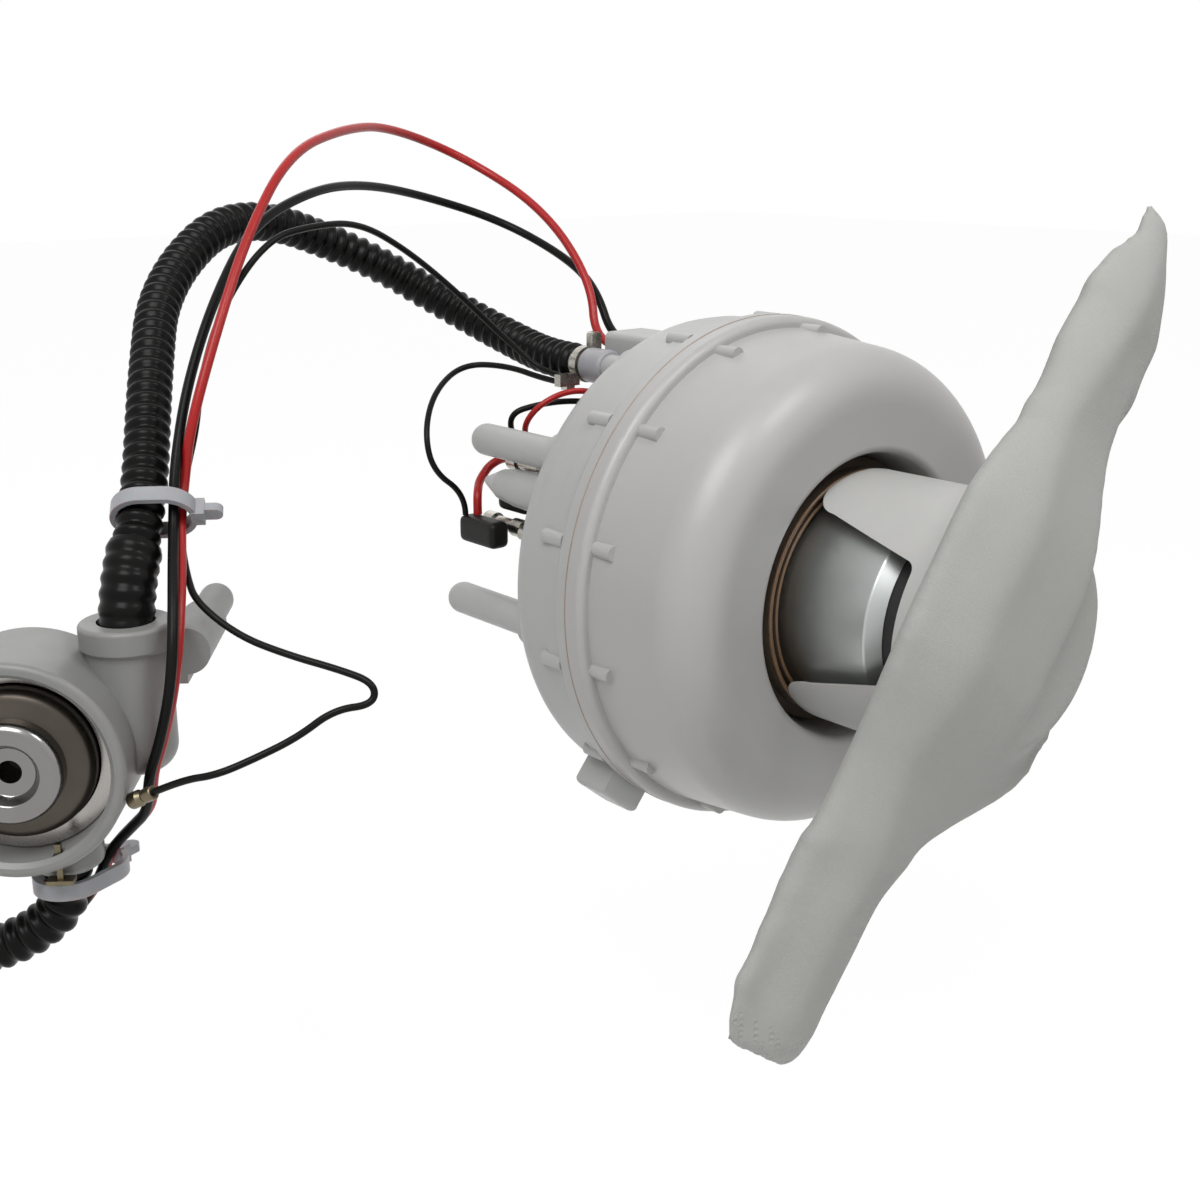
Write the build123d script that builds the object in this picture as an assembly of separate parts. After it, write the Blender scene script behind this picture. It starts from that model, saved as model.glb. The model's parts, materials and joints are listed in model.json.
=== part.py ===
"""Fuel pump module: filter canister with its pump, strainer, regulator, hoses and wires.

Millimetres, +Z up. The origin is the middle of the round seat on the back of the
canister cap, and the canister's axis is the Y axis: -Y towards the strainer, +Y towards
the hoses. Pieces of the canister are drawn about a local Z axis, height 0 at the seat
and growing towards the strainer, and are then laid along -Y.
"""
import os
from math import cos, pi, radians, sin, tan

from build123d import *

# Canister shell
SEAT_R = 12.0
SEAT_HEIGHT = 2.0
CAP_R = 51.0
CAP_WALL = 3.0
CAP_EDGE_ROUND = 5.0
CAP_STEP = 0.4
CAP_STEP_HEIGHTS = (9.0, 15.0)
FLANGE_R = 52.8
FLANGE_REAR = 19.0
WELD_HEIGHT = 22.2
FLANGE_FRONT = 26.4
BOWL_REAR_R = 50.5
BOWL_FRONT_R = 48.0
BOWL_WALL = 2.6
BOWL_ROUND = 10.5
MOUTH_HEIGHT = 52.0
MOUTH_ROUND = 1.6
WELL_R = 27.0
WELL_FLARE = 1.9
WELL_WALL = 2.0
WELL_FLOOR_FRONT = 12.5
WELL_FLOOR = 2.5

# Lugs moulded round the flange
LUG_COUNT = 13
LUG_R = 1.5
LUG_LENGTH = 6.0
LUG_FIRST_ANGLE = 109.6

# Foot tab moulded under the flange
TAB_ANGLE = -129.0
TAB_WIDTH = 11.0
TAB_REACH = 57.6
TAB_LENGTH = 9.0

# Locating pegs on the cap
PEG_R = 3.4
PEG_REACH = 27.0
PEG_FOOT_R = 4.8
PEG_FOOT_HEIGHT = 0.8
PEG_SPOTS = ((-36.3, 25.3), (-43.4, -8.5))

# Outlet nozzle, wire guide and cone boss on the cap
NOZZLE_SPOT = (-14.0, 40.0)
NOZZLE_R = 2.9
NOZZLE_BORE_R = 1.7
NOZZLE_REACH = 20.0
CONE_SPOT = (-36.5, 16.5)
CONE_TIP_R = 0.9
CONE_REACH = 23.4
CONE_PROFILE = ((3.3, -17.5), (4.0, -12.0), (4.4, -4.0), (4.4, 3.0))
GUIDE_SPOT = (-4.6, 43.4)
GUIDE_SIZE = (12.0, 7.0)
GUIDE_REACH = 15.0

# Terminals, boots and earth ring behind the cap
BLADE_SPOTS = ((-27.8, 19.3), (-33.0, 6.5))
BLADE_WIDTH = 6.3
BLADE_THICK = 0.8
BLADE_TIP = -11.0
SPADE_BACKS = (-26.0, -28.0)
SPADE_FRONT = -5.0
SPADE_NECK = -13.0
SPADE_WIDTH = 7.4
SPADE_DEPTH = 2.6
SPADE_GAP = 0.05
CRIMP_R = 1.5
CRIMP_WING_R = 2.0
BOOT_UPPER = ((-33.2, 9.4, -25.0), (-27.0, 15.5, -15.0))
BOOT_LOWER = ((-40.4, 2.6, -29.5), (-35.6, 8.4, -17.0))
BOOT_ROUND = 1.2
EARTH_RING_R = 3.9
EARTH_RING_Z = (-18.5, -16.5)

# Pump
PUMP_R = 21.5
CAN_WALL = 1.2
CAN_REAR = 15.0
CAN_FRONT = 72.0
CAN_BEVEL = 2.6
COVER_R = PUMP_R - CAN_WALL - 0.05
INLET_COVER_REAR = 64.0
INLET_COVER_FRONT = 79.0
INLET_NOSE_R = 19.2
IMPELLER_R = 16.5
IMPELLER_THICK = 2.7
IMPELLER_VANES = 30
IMPELLER_GAP = 0.25
PLATE_REAR = 60.0
INLET_OFFSET = 8.0
INLET_R = 5.6
INLET_BORE_R = 4.2
INLET_REACH = 89.0
SHAFT_R = 1.6
SHAFT_REAR = 18.0
SHAFT_GAP = 0.04
BUSH_R = 4.0
BUSH_LENGTH = 5.0
CORE_R = 14.5
CORE_REAR = 33.0
CORE_FRONT = 56.0
CORE_SLOTS = 8
WINDING_R = 12.5
WINDING_OVERHANG = 3.5
AIR_GAP = 0.6
MAGNET_REAR = 31.0
MAGNET_FRONT = 58.0
MAGNET_ARC = 140.0
COMMUTATOR_R = 6.0
COMMUTATOR_REAR = 23.2
COMMUTATOR_FRONT = 29.2
COMMUTATOR_BARS = 8
OUTLET_COVER_REAR = 15.6
OUTLET_COVER_FRONT = 29.5
BRUSH_WIDTH = 4.0
BRUSH_HEIGHT = 3.0
BRUSH_LENGTH = 7.0
BRUSH_CENTRE = 26.0
BRUSH_GAP = 0.15
CHANNEL_GAP = 0.15
OUTLET_OFFSET = 11.0
NECK_R = 5.0
NECK_REAR = 6.0
NECK_GAP = 0.25
CHECK_SEAT = 14.0
CHECK_SEAT_R = 2.2
CHECK_BORE_R = 3.7
RELIEF_SEAT = 20.0
RELIEF_BORE_R = 2.6

# Isolator between pump and well
ISOLATOR_REAR = 36.0
ISOLATOR_FRONT = 49.7
ISOLATOR_GAP = 0.15

# Cage that holds the pump
CAGE_R = 25.5
CAGE_WALL = 1.8
CAGE_TIP = 50.0
WINDOW_FRONT = 79.0
CAGE_FRONT = 84.0
CAGE_PLATE = 4.7
LEG_ANGLE = 77.5
WINDOW_ROOT_HALF = 11.0
WINDOW_TIP_HALF = 16.2
WINDOW_ROUND = 2.2
TONGUE_ROUND = 6.0
RIB_WIDTH = 1.6

# Filter element
MEDIA_INNER_R = 31.5
MEDIA_OUTER_R = 41.5
MEDIA_REAR = 14.4
MEDIA_FRONT = 43.0
MEDIA_PLEATS = 36
MEDIA_THICK = 2.2
END_CAP_THICK = 2.0
END_CAP_GAP = 0.3

# Strainer
BAG_ANGLE = 56.2
BAG_CLEAR = 0.35
BAG_SECTIONS = 25
# Along the bag: sideways offset, height of its middle, half width, half thickness
BAG_STATIONS = (
    (-88, -6.0, 75.5, 12.0, 0.9), (-80, -6.0, 75.6, 13.2, 3.4), (-58, -5.6, 76.4, 13.8, 4.6),
    (-40, -4.4, 79.0, 16.0, 5.4), (-8, 0.0, 87.0, 32.0, 7.6), (12, 0.0, 87.5, 32.0, 7.6),
    (44, -3.4, 83.0, 15.5, 5.4), (64, -3.0, 81.2, 14.6, 4.6), (87, 1.0, 80.0, 3.0, 0.9))
FRAME_R = 19.0
FRAME_THICK = 3.0
COLLAR_R = 7.6

# Regulator unit
REG_ORIGIN = (-150.0, 8.0, -16.0)
REG_SIDEWAYS = (0.8, -0.6, 0.0)
REG_OUTWARD = (-0.6, -0.8, 0.0)
HOUSING_R = 19.6
HOUSING_BORE_R = 16.9
HOUSING_DEPTH = 24.0
HOUSING_BACK = 3.0
INLET_TUBE_SPOT = (18.0, -16.0)
INLET_TUBE_R = 7.4
INLET_COLLAR_R = 8.3
INLET_COLLAR_LENGTH = 5.0
INLET_TUBE_TOP = 22.0
INLET_TUBE_BOTTOM = -6.0
SOCKET_DEPTH = 5.0
LOW_PORT_SPOT = (5.5, -10.0)
LOW_PORT_R = 6.6
LOW_PORT_BOTTOM = -21.5
REG_PEG_SPOT = (28.0, 16.0)
REG_PEG_R = 3.3
REG_PEG_TIP = -52.0
REG_PEG_STEM_R = 4.3
REG_PEG_STEM_END = -34.0
REG_RIB_WIDTH = 5.0
REG_RIB_DROP = 3.5
REG_BODY_R = 13.6
REG_BODY_FRONT = -3.5
REG_BODY_REAR = -20.0
REG_CAN_WALL = 1.0
REG_SEAM_R = 15.6
REG_SEAM_FRONT = -13.0
REG_NECK_R = 9.2
REG_NECK_FRONT = 1.5
EARTH_X = 6.5
EARTH_Z = -1.9
REG_PORT_R = 2.1
REG_SPIGOT_R = 5.0

# Cords
HOSE_R = 4.25
CUFF_R = 4.95
WIRE_R = 0.95
THIN_R = 0.65
BEND_SHARE = 0.45

# Ties, plug and connector
TIE_INNER = 4.7
TIE_FEED_SPREAD = 3.8
TIE_FEED_SPOT = (-117.4, 18.2, 22.5)
TIE_FEED_AXIS = (-11.5, -17.5, -17.5)
TIE_FEED_ACROSS = (0.82, -0.54, 0.0)
TIE_RETURN_INNER = 5.2
TIE_RETURN_SPREAD = 5.8
TIE_RETURN_Y = -24.4
TIE_RETURN_ACROSS = (0.548, 0.0, -0.837)
TIE_WIDTH = 3.0
TIE_BAND = 1.1
TIE_TAIL = 5.0
TIE_TAIL_THICK = 1.6
CONNECTOR_R = 5.5
CONNECTOR_BORE_R = 2.6
PLUG_X = -50.0
PLUG_Y = -45.2
PLUG_Z = (-20.9, -14.8)
PLUG_LENGTH = 16.0
PLUG_HEIGHT = 5.6

CANISTER = Rot(90, 0, 0)
REGULATOR = Plane(origin=REG_ORIGIN, x_dir=REG_SIDEWAYS, z_dir=REG_OUTWARD)


def turned(*corners):
    """Solid of revolution about Z. A corner is (radius, height) or (radius, height, rounding)."""
    face = make_face(Polyline(*[corner[:2] for corner in corners], close=True))
    for corner in corners:
        if len(corner) == 3:
            vertex = face.vertices().sort_by_distance((corner[0], corner[1], 0))[0]
            face = fillet(vertex, corner[2])
    return revolve(Plane.XZ * face, Axis.Z)


def tube(outer, inner, bottom, top):
    """Plain round tube about Z."""
    return turned((inner, bottom), (outer, bottom), (outer, top), (inner, top))


def rod(radius, bottom, top, spot=(0.0, 0.0)):
    """Plain cylinder along Z at a spot."""
    return Pos(spot[0], spot[1], bottom) * Cylinder(
        radius, top - bottom, align=(Align.CENTER, Align.CENTER, Align.MIN))


def block(size_x, size_y, bottom, top, spot=(0.0, 0.0)):
    """Plain block standing on a height."""
    return Pos(spot[0], spot[1], bottom) * Box(
        size_x, size_y, top - bottom, align=(Align.CENTER, Align.CENTER, Align.MIN))


def round_peg(radius, base, reach, spot):
    """Peg along -Z from a base height to a domed tip."""
    shank = rod(radius, reach + radius, base, spot)
    return shank + Pos(spot[0], spot[1], reach + radius) * Sphere(radius)


def spring(radius, wire, bottom, top, turns):
    """Coil spring along Z, its ends just inside the given heights."""
    pitch = (top - bottom - 2 * wire) / turns
    path = Helix(pitch=pitch, height=pitch * turns, radius=radius)
    section = Plane(origin=path @ 0, z_dir=path % 0) * RegularPolygon(wire, 6)
    return Pos(0, 0, bottom + wire) * sweep(section, path=path, is_frenet=True)


def cord(name, radius, points, inner=0.0):
    """Tube along straight runs joined by arcs. Each arc is as large as its runs allow."""
    spots = [Vector(*point) for point in points]
    radii = []
    for before, corner, after in zip(spots, spots[1:], spots[2:]):
        run_in = corner - before
        run_out = after - corner
        half_turn = radians(run_in.get_angle(run_out)) / 2
        radii.append(BEND_SHARE * min(run_in.length, run_out.length) / tan(half_turn))
    path = FilletPolyline(*spots, radius=radii)
    section = Plane(origin=path @ 0, z_dir=path % 0) * Circle(radius)
    if inner:
        section -= Plane(origin=path @ 0, z_dir=path % 0) * Circle(inner)
    body = sweep(section, path=path)
    area = pi * (radius ** 2 - inner ** 2)
    print(f"{name}: length {path.length:.1f}, volume share {body.volume / (area * path.length):.4f},"
          f" smallest radius {min(radii):.1f}")
    return body


# Canister


def canister_cap():
    """Rear shell with flange, seat, pegs, nozzle, cone boss and wire guide."""
    step_low, step_high = CAP_STEP_HEIGHTS
    inside = CAP_R - CAP_WALL
    rear = SEAT_HEIGHT
    shell = turned(
        (0, 0), (SEAT_R, 0, 0.6), (SEAT_R, rear), (CAP_R, rear, CAP_EDGE_ROUND),
        (CAP_R, step_low), (CAP_R + CAP_STEP, step_low), (CAP_R + CAP_STEP, step_high),
        (CAP_R + 2 * CAP_STEP, step_high), (CAP_R + 2 * CAP_STEP, FLANGE_REAR),
        (FLANGE_R, FLANGE_REAR, 0.7), (FLANGE_R, WELD_HEIGHT), (inside, WELD_HEIGHT),
        (inside, rear + CAP_WALL, 2.0), (0, rear + CAP_WALL))
    for spot in PEG_SPOTS:
        shell += rod(PEG_FOOT_R, rear - PEG_FOOT_HEIGHT, rear + CAP_WALL - 0.5, spot)
        shell += round_peg(PEG_R, rear + 1, -PEG_REACH, spot)
    shell += rod(NOZZLE_R, -NOZZLE_REACH, rear + 1, NOZZLE_SPOT)
    shell += rod(NOZZLE_R + 1.6, -3.0, rear + 1, NOZZLE_SPOT)
    shell -= rod(NOZZLE_BORE_R, -NOZZLE_REACH - 1, rear + CAP_WALL + 1, NOZZLE_SPOT)
    shell += Pos(CONE_SPOT[0], CONE_SPOT[1], 0) * turned(
        (0, -CONE_REACH), (CONE_TIP_R, -CONE_REACH), *CONE_PROFILE, (0, rear + 1))
    shell += wire_guide()
    shell += foot_tab()
    for index in range(LUG_COUNT):
        angle = LUG_FIRST_ANGLE + index * 360 / LUG_COUNT
        shell += lug(angle, FLANGE_REAR - LUG_LENGTH / 2, CAP_R + 2 * CAP_STEP - 0.4)
    return shell


def wire_guide():
    """Hooked block on the cap that the two pump wires run through."""
    width, depth = GUIDE_SIZE
    body = block(width, depth, -GUIDE_REACH, SEAT_HEIGHT + 1, GUIDE_SPOT)
    return fillet(body.edges().filter_by(Axis.Z), 1.5)


def lug(angle, height, radius):
    """Small rounded bar lying along the axis on the shell."""
    bar = Pos(radius, 0, height) * Cylinder(LUG_R, LUG_LENGTH)
    return Rot(0, 0, angle) * bar


def foot_tab():
    """Square foot on the cap's side, just behind the flange."""
    inner = CAP_R - 2
    body = Pos((TAB_REACH + inner) / 2, 0, FLANGE_REAR - TAB_LENGTH / 2) * Box(
        TAB_REACH - inner, TAB_WIDTH, TAB_LENGTH)
    outer_edges = body.edges().group_by(Axis.X)[-1]
    return Rot(0, 0, TAB_ANGLE) * fillet(outer_edges, 1.2)


def canister_bowl():
    """Front shell: flange, drafted side, round shoulder, mouth and pump well with its floor."""
    side_inner_rear = BOWL_REAR_R - BOWL_WALL
    side_inner_front = BOWL_FRONT_R - BOWL_WALL
    well_outer = WELL_R + WELL_WALL
    floor_rear = WELL_FLOOR_FRONT - WELL_FLOOR
    shell = turned(
        (0, floor_rear), (well_outer, floor_rear, 1.0), (well_outer, MOUTH_HEIGHT - BOWL_WALL),
        (side_inner_front, MOUTH_HEIGHT - BOWL_WALL, BOWL_ROUND - BOWL_WALL),
        (side_inner_rear, FLANGE_FRONT), (side_inner_rear, WELD_HEIGHT),
        (FLANGE_R, WELD_HEIGHT), (FLANGE_R, FLANGE_FRONT, 1.6), (BOWL_REAR_R, FLANGE_FRONT),
        (BOWL_FRONT_R, MOUTH_HEIGHT, BOWL_ROUND), (WELL_R + WELL_FLARE, MOUTH_HEIGHT, MOUTH_ROUND),
        (WELL_R, MOUTH_HEIGHT - 12), (WELL_R, WELL_FLOOR_FRONT), (0, WELL_FLOOR_FRONT))
    neck_spot = (0.0, OUTLET_OFFSET)
    collar_height = floor_rear - NECK_REAR + 0.5
    shell += rod(NECK_R + 3.2, NECK_REAR - 0.5, NECK_REAR - 0.5 + collar_height, neck_spot)
    shell -= rod(NECK_R + NECK_GAP, NECK_REAR - 1, WELL_FLOOR_FRONT + 1, neck_spot)
    for index in range(LUG_COUNT):
        angle = LUG_FIRST_ANGLE + index * 360 / LUG_COUNT
        shell += lug(angle, FLANGE_FRONT + LUG_LENGTH / 2 - 1, BOWL_REAR_R - 0.5)
    return shell


def filter_media():
    """Pleated paper ring, folded as a star."""
    def star(outer, inner):
        corners = []
        for index in range(2 * MEDIA_PLEATS):
            radius = outer if index % 2 else inner
            angle = pi * index / MEDIA_PLEATS
            corners.append((radius * cos(angle), radius * sin(angle)))
        return make_face(Polyline(*corners, close=True))
    pleats = star(MEDIA_OUTER_R, MEDIA_INNER_R + MEDIA_THICK)
    pleats -= star(MEDIA_OUTER_R - MEDIA_THICK, MEDIA_INNER_R)
    return Pos(0, 0, MEDIA_REAR) * extrude(pleats, MEDIA_FRONT - MEDIA_REAR)


def filter_end_cap(bottom):
    """Ring that closes one end of the pleats and seals on the well."""
    outer = MEDIA_OUTER_R + 1.0
    return tube(outer, WELL_R + WELL_WALL + END_CAP_GAP, bottom, bottom + END_CAP_THICK)


# Pump


def pump_casing():
    """Steel can with both ends rolled over the covers."""
    inner = PUMP_R - CAN_WALL
    lip = PUMP_R - CAN_BEVEL + 0.4
    return turned(
        (inner, CAN_REAR + 0.6), (lip, CAN_REAR + 0.6), (lip, CAN_REAR), (PUMP_R, CAN_REAR, 1.0),
        (PUMP_R, CAN_FRONT - CAN_BEVEL, 0.8), (INLET_NOSE_R + 0.2, CAN_FRONT),
        (INLET_NOSE_R + 0.2, CAN_FRONT - 0.8), (inner, CAN_FRONT - CAN_BEVEL - 0.4))


def inlet_cover():
    """Black inlet end with the impeller cavity, nose and off-centre inlet pipe."""
    cavity_r = IMPELLER_R + IMPELLER_GAP
    cavity_top = INLET_COVER_REAR + IMPELLER_THICK + 2 * IMPELLER_GAP
    seat = CAN_FRONT - CAN_BEVEL - 0.6
    body = turned(
        (cavity_r, INLET_COVER_REAR), (COVER_R, INLET_COVER_REAR), (COVER_R, seat),
        (INLET_NOSE_R, CAN_FRONT - 0.9), (INLET_NOSE_R, INLET_COVER_FRONT, 0.8),
        (0, INLET_COVER_FRONT), (0, cavity_top), (cavity_r, cavity_top))
    pipe_spot = (0.0, INLET_OFFSET)
    body += rod(INLET_R, INLET_COVER_FRONT - 1, INLET_REACH, pipe_spot)
    body -= rod(INLET_BORE_R, cavity_top - 1, INLET_REACH + 1, pipe_spot)
    body -= rod(SHAFT_R + 0.6, cavity_top - 1, cavity_top + 2.0)
    return body


def impeller():
    """Disc with radial vanes cut round both sides of its rim."""
    bottom = INLET_COVER_REAR + IMPELLER_GAP
    disc = tube(IMPELLER_R, SHAFT_R, bottom, bottom + IMPELLER_THICK)
    groove = Pos(IMPELLER_R - 1.2, 0, bottom + IMPELLER_THICK / 2) * Box(3.4, 1.5, IMPELLER_THICK + 1)
    grooves = PolarLocations(0, IMPELLER_VANES) * groove
    return disc - grooves


def chamber_plate():
    """Plate behind the impeller that carries the front bearing."""
    body = tube(COVER_R, BUSH_R, PLATE_REAR, INLET_COVER_REAR)
    port = (0.0, -INLET_OFFSET - 4.0)
    return body - rod(2.6, PLATE_REAR - 1, INLET_COVER_REAR + 1, port)


def bearing(bottom):
    """Sintered bush on the shaft."""
    return tube(BUSH_R, SHAFT_R + SHAFT_GAP, bottom, bottom + BUSH_LENGTH)


def armature_core():
    """Laminated core with open slots for the windings."""
    core = tube(CORE_R, SHAFT_R, CORE_REAR, CORE_FRONT)
    slot = Pos(CORE_R - 3.5, 0, (CORE_REAR + CORE_FRONT) / 2) * Box(
        8.0, 2.2, CORE_FRONT - CORE_REAR + 2)
    return core - PolarLocations(0, CORE_SLOTS) * slot


def armature_windings():
    """The two copper end rings of the windings."""
    inner = SHAFT_R + 2.4
    rear = turned(
        (inner, CORE_REAR - WINDING_OVERHANG), (WINDING_R, CORE_REAR - WINDING_OVERHANG, 1.4),
        (WINDING_R, CORE_REAR), (inner, CORE_REAR))
    front = turned(
        (inner, CORE_FRONT), (WINDING_R, CORE_FRONT),
        (WINDING_R, CORE_FRONT + WINDING_OVERHANG, 1.4), (inner, CORE_FRONT + WINDING_OVERHANG))
    return [rear, front]


def commutator():
    """Barrel of copper bars with slots between them."""
    barrel = tube(COMMUTATOR_R, SHAFT_R, COMMUTATOR_REAR, COMMUTATOR_FRONT)
    slot = Pos(COMMUTATOR_R, 0, (COMMUTATOR_REAR + COMMUTATOR_FRONT) / 2) * Box(1.6, 0.5, 20)
    return barrel - PolarLocations(0, COMMUTATOR_BARS) * slot


def stator_magnets():
    """Two magnet shells against the steel can."""
    shell = tube(PUMP_R - CAN_WALL - 0.05, CORE_R + AIR_GAP, MAGNET_REAR, MAGNET_FRONT)
    side = 90 - MAGNET_ARC / 2
    reach = PUMP_R * 1.5
    corner = (reach, reach * tan(radians(side)))
    wedge_face = make_face(Polyline((0, 0), corner, (corner[0], -corner[1]), close=True))
    wedge = Pos(0, 0, MAGNET_REAR - 1) * extrude(wedge_face, MAGNET_FRONT - MAGNET_REAR + 2)
    cut = shell - wedge - Rot(0, 0, 180) * wedge
    return list(cut.solids())


def outlet_cover():
    """Black rear end: brush channels, bearing seat, outlet neck with valve seats."""
    inner_wall = COMMUTATOR_R + 1.2
    floor = SHAFT_REAR + BUSH_LENGTH - 0.4
    body = turned(
        (0, OUTLET_COVER_REAR), (PUMP_R - CAN_BEVEL + 0.2, OUTLET_COVER_REAR),
        (PUMP_R - CAN_BEVEL + 0.2, CAN_REAR + 0.7), (COVER_R, CAN_REAR + 1.2),
        (COVER_R, OUTLET_COVER_FRONT), (inner_wall, OUTLET_COVER_FRONT), (inner_wall, floor),
        (0, floor))
    body -= rod(BUSH_R, SHAFT_REAR - 0.4, floor + 1)
    neck_spot = (0.0, OUTLET_OFFSET)
    body += rod(NECK_R, NECK_REAR, OUTLET_COVER_REAR + 1, neck_spot)
    body -= rod(CHECK_BORE_R, NECK_REAR - 1, CHECK_SEAT, neck_spot)
    body -= rod(CHECK_SEAT_R, NECK_REAR - 1, OUTLET_COVER_FRONT + 1, neck_spot)
    relief_spot = (0.0, -OUTLET_OFFSET)
    body -= rod(RELIEF_BORE_R, OUTLET_COVER_REAR - 1, RELIEF_SEAT, relief_spot)
    body -= rod(1.3, OUTLET_COVER_REAR - 1, OUTLET_COVER_FRONT + 1, relief_spot)
    channel = Box(2 * (COVER_R - 1.0), BRUSH_WIDTH + 2 * CHANNEL_GAP, BRUSH_HEIGHT + 2 * CHANNEL_GAP)
    return body - Pos(0, 0, BRUSH_CENTRE) * channel


def brush():
    """Carbon brush on the +X side, its inner end curved to the commutator."""
    inner = COMMUTATOR_R - 0.6
    body = Pos(inner, 0, BRUSH_CENTRE) * Box(
        BRUSH_LENGTH, BRUSH_WIDTH, BRUSH_HEIGHT, align=(Align.MIN, Align.CENTER, Align.CENTER))
    return body - rod(COMMUTATOR_R + BRUSH_GAP, BRUSH_CENTRE - 5, BRUSH_CENTRE + 5)


def brush_spring():
    """Coil spring between the brush and the end of its channel."""
    bottom = COMMUTATOR_R - 0.6 + BRUSH_LENGTH + 0.1
    top = COVER_R - 1.1
    return Pos(0, 0, BRUSH_CENTRE) * Rot(0, 90, 0) * spring(1.1, 0.22, bottom, top, 4)


def check_valve():
    """Outlet poppet: a coned head on the seat and a guide stem."""
    head = CHECK_BORE_R - 0.5
    body = turned(
        (0, CHECK_SEAT + 0.6), (1.2, CHECK_SEAT + 0.6), (CHECK_SEAT_R - 0.15, CHECK_SEAT - 0.05),
        (head, CHECK_SEAT - 0.05), (head, CHECK_SEAT - 1.4), (0.9, CHECK_SEAT - 1.4),
        (0.9, CHECK_SEAT - 4.8), (0, CHECK_SEAT - 4.8))
    return Pos(0, OUTLET_OFFSET, 0) * body


def check_valve_guide():
    """Ring with a cross bar that guides the poppet's stem and holds its spring."""
    ring = tube(CHECK_BORE_R - 0.04, CHECK_BORE_R - 1.0, NECK_REAR + 0.3, NECK_REAR + 1.9)
    bar = block(2 * CHECK_BORE_R - 1.2, 3.0, NECK_REAR + 0.3, NECK_REAR + 1.9)
    body = ring + (bar & rod(CHECK_BORE_R - 0.5, NECK_REAR, NECK_REAR + 3))
    body -= rod(1.0, NECK_REAR - 1, NECK_REAR + 4)
    return Pos(0, OUTLET_OFFSET, 0) * body


def check_spring():
    """Spring that closes the outlet poppet."""
    coil = spring(1.75, 0.25, NECK_REAR + 1.95, CHECK_SEAT - 1.45, 4)
    return Pos(0, OUTLET_OFFSET, 0) * coil


def relief_valve():
    """Small ball-nosed plunger that lifts when the outlet is blocked."""
    body = turned(
        (0, RELIEF_SEAT + 0.5), (1.15, RELIEF_SEAT - 0.05), (RELIEF_BORE_R - 0.1, RELIEF_SEAT - 0.05),
        (RELIEF_BORE_R - 0.1, RELIEF_SEAT - 1.6), (0, RELIEF_SEAT - 1.6))
    return Pos(0, -OUTLET_OFFSET, 0) * body


def relief_spring():
    """Spring behind the relief plunger, held by the outlet cover's rear lip."""
    coil = spring(1.6, 0.25, OUTLET_COVER_REAR + 0.1, RELIEF_SEAT - 1.7, 3)
    return Pos(0, -OUTLET_OFFSET, 0) * coil


def relief_retainer():
    """Pressed ring that holds the relief spring in its bore."""
    bottom = OUTLET_COVER_REAR - 0.5
    return Pos(0, -OUTLET_OFFSET, 0) * tube(RELIEF_BORE_R + 0.9, 1.0, bottom, OUTLET_COVER_REAR)


def outlet_seal():
    """O-ring between the pump's neck and the well floor's collar."""
    bottom = WELL_FLOOR_FRONT + 0.1
    ring = Pos(0, OUTLET_OFFSET, bottom + 0.9) * Torus(NECK_R + 1.05, 0.9)
    return ring


def isolator():
    """Rubber sleeve that carries the pump in the well, its front face grooved."""
    outer = WELL_R - ISOLATOR_GAP
    inner = PUMP_R + 0.1
    front = ISOLATOR_FRONT
    return turned(
        (inner, ISOLATOR_REAR), (outer, ISOLATOR_REAR, 0.8), (outer, front - 5.0),
        (25.3, front - 3.5), (25.3, front, 0.3), (24.5, front), (24.2, front - 2.4),
        (23.5, front - 2.4), (23.3, front - 0.4), (22.6, front - 0.4), (22.4, front - 1.8),
        (inner, front - 1.8))


# Cage


def pump_cage():
    """White cage: closed front ring, plate with pipe hole and two tapered tongues."""
    inner = CAGE_R - CAGE_WALL
    plate_rear = CAGE_FRONT - CAGE_PLATE
    body = turned(
        (0, plate_rear), (inner, plate_rear), (inner, CAGE_TIP), (CAGE_R, CAGE_TIP, 0.5),
        (CAGE_R, CAGE_FRONT, 0.8), (0, CAGE_FRONT))
    for turn in (90, 270):
        body -= Rot(0, 0, LEG_ANGLE + turn) * cage_window()
    body -= rod(INLET_R + 0.25, plate_rear - 1, CAGE_FRONT + 1, (0.0, INLET_OFFSET))
    for angle in (-120, 0, 120):
        body -= rod(3.2, plate_rear - 1, CAGE_FRONT + 1, (
            15 * cos(radians(angle - 90)), 15 * sin(radians(angle - 90))))
    for side in (-28, 28):
        for turn in (0, 180):
            rib = block(inner + 0.4 - PUMP_R - 0.2, RIB_WIDTH, CAGE_TIP + 8, plate_rear + 0.5)
            middle = (PUMP_R + 0.2 + inner + 0.4) / 2
            body += Rot(0, 0, LEG_ANGLE + side + turn) * Pos(middle, 0, 0) * rib
    return body


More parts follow.
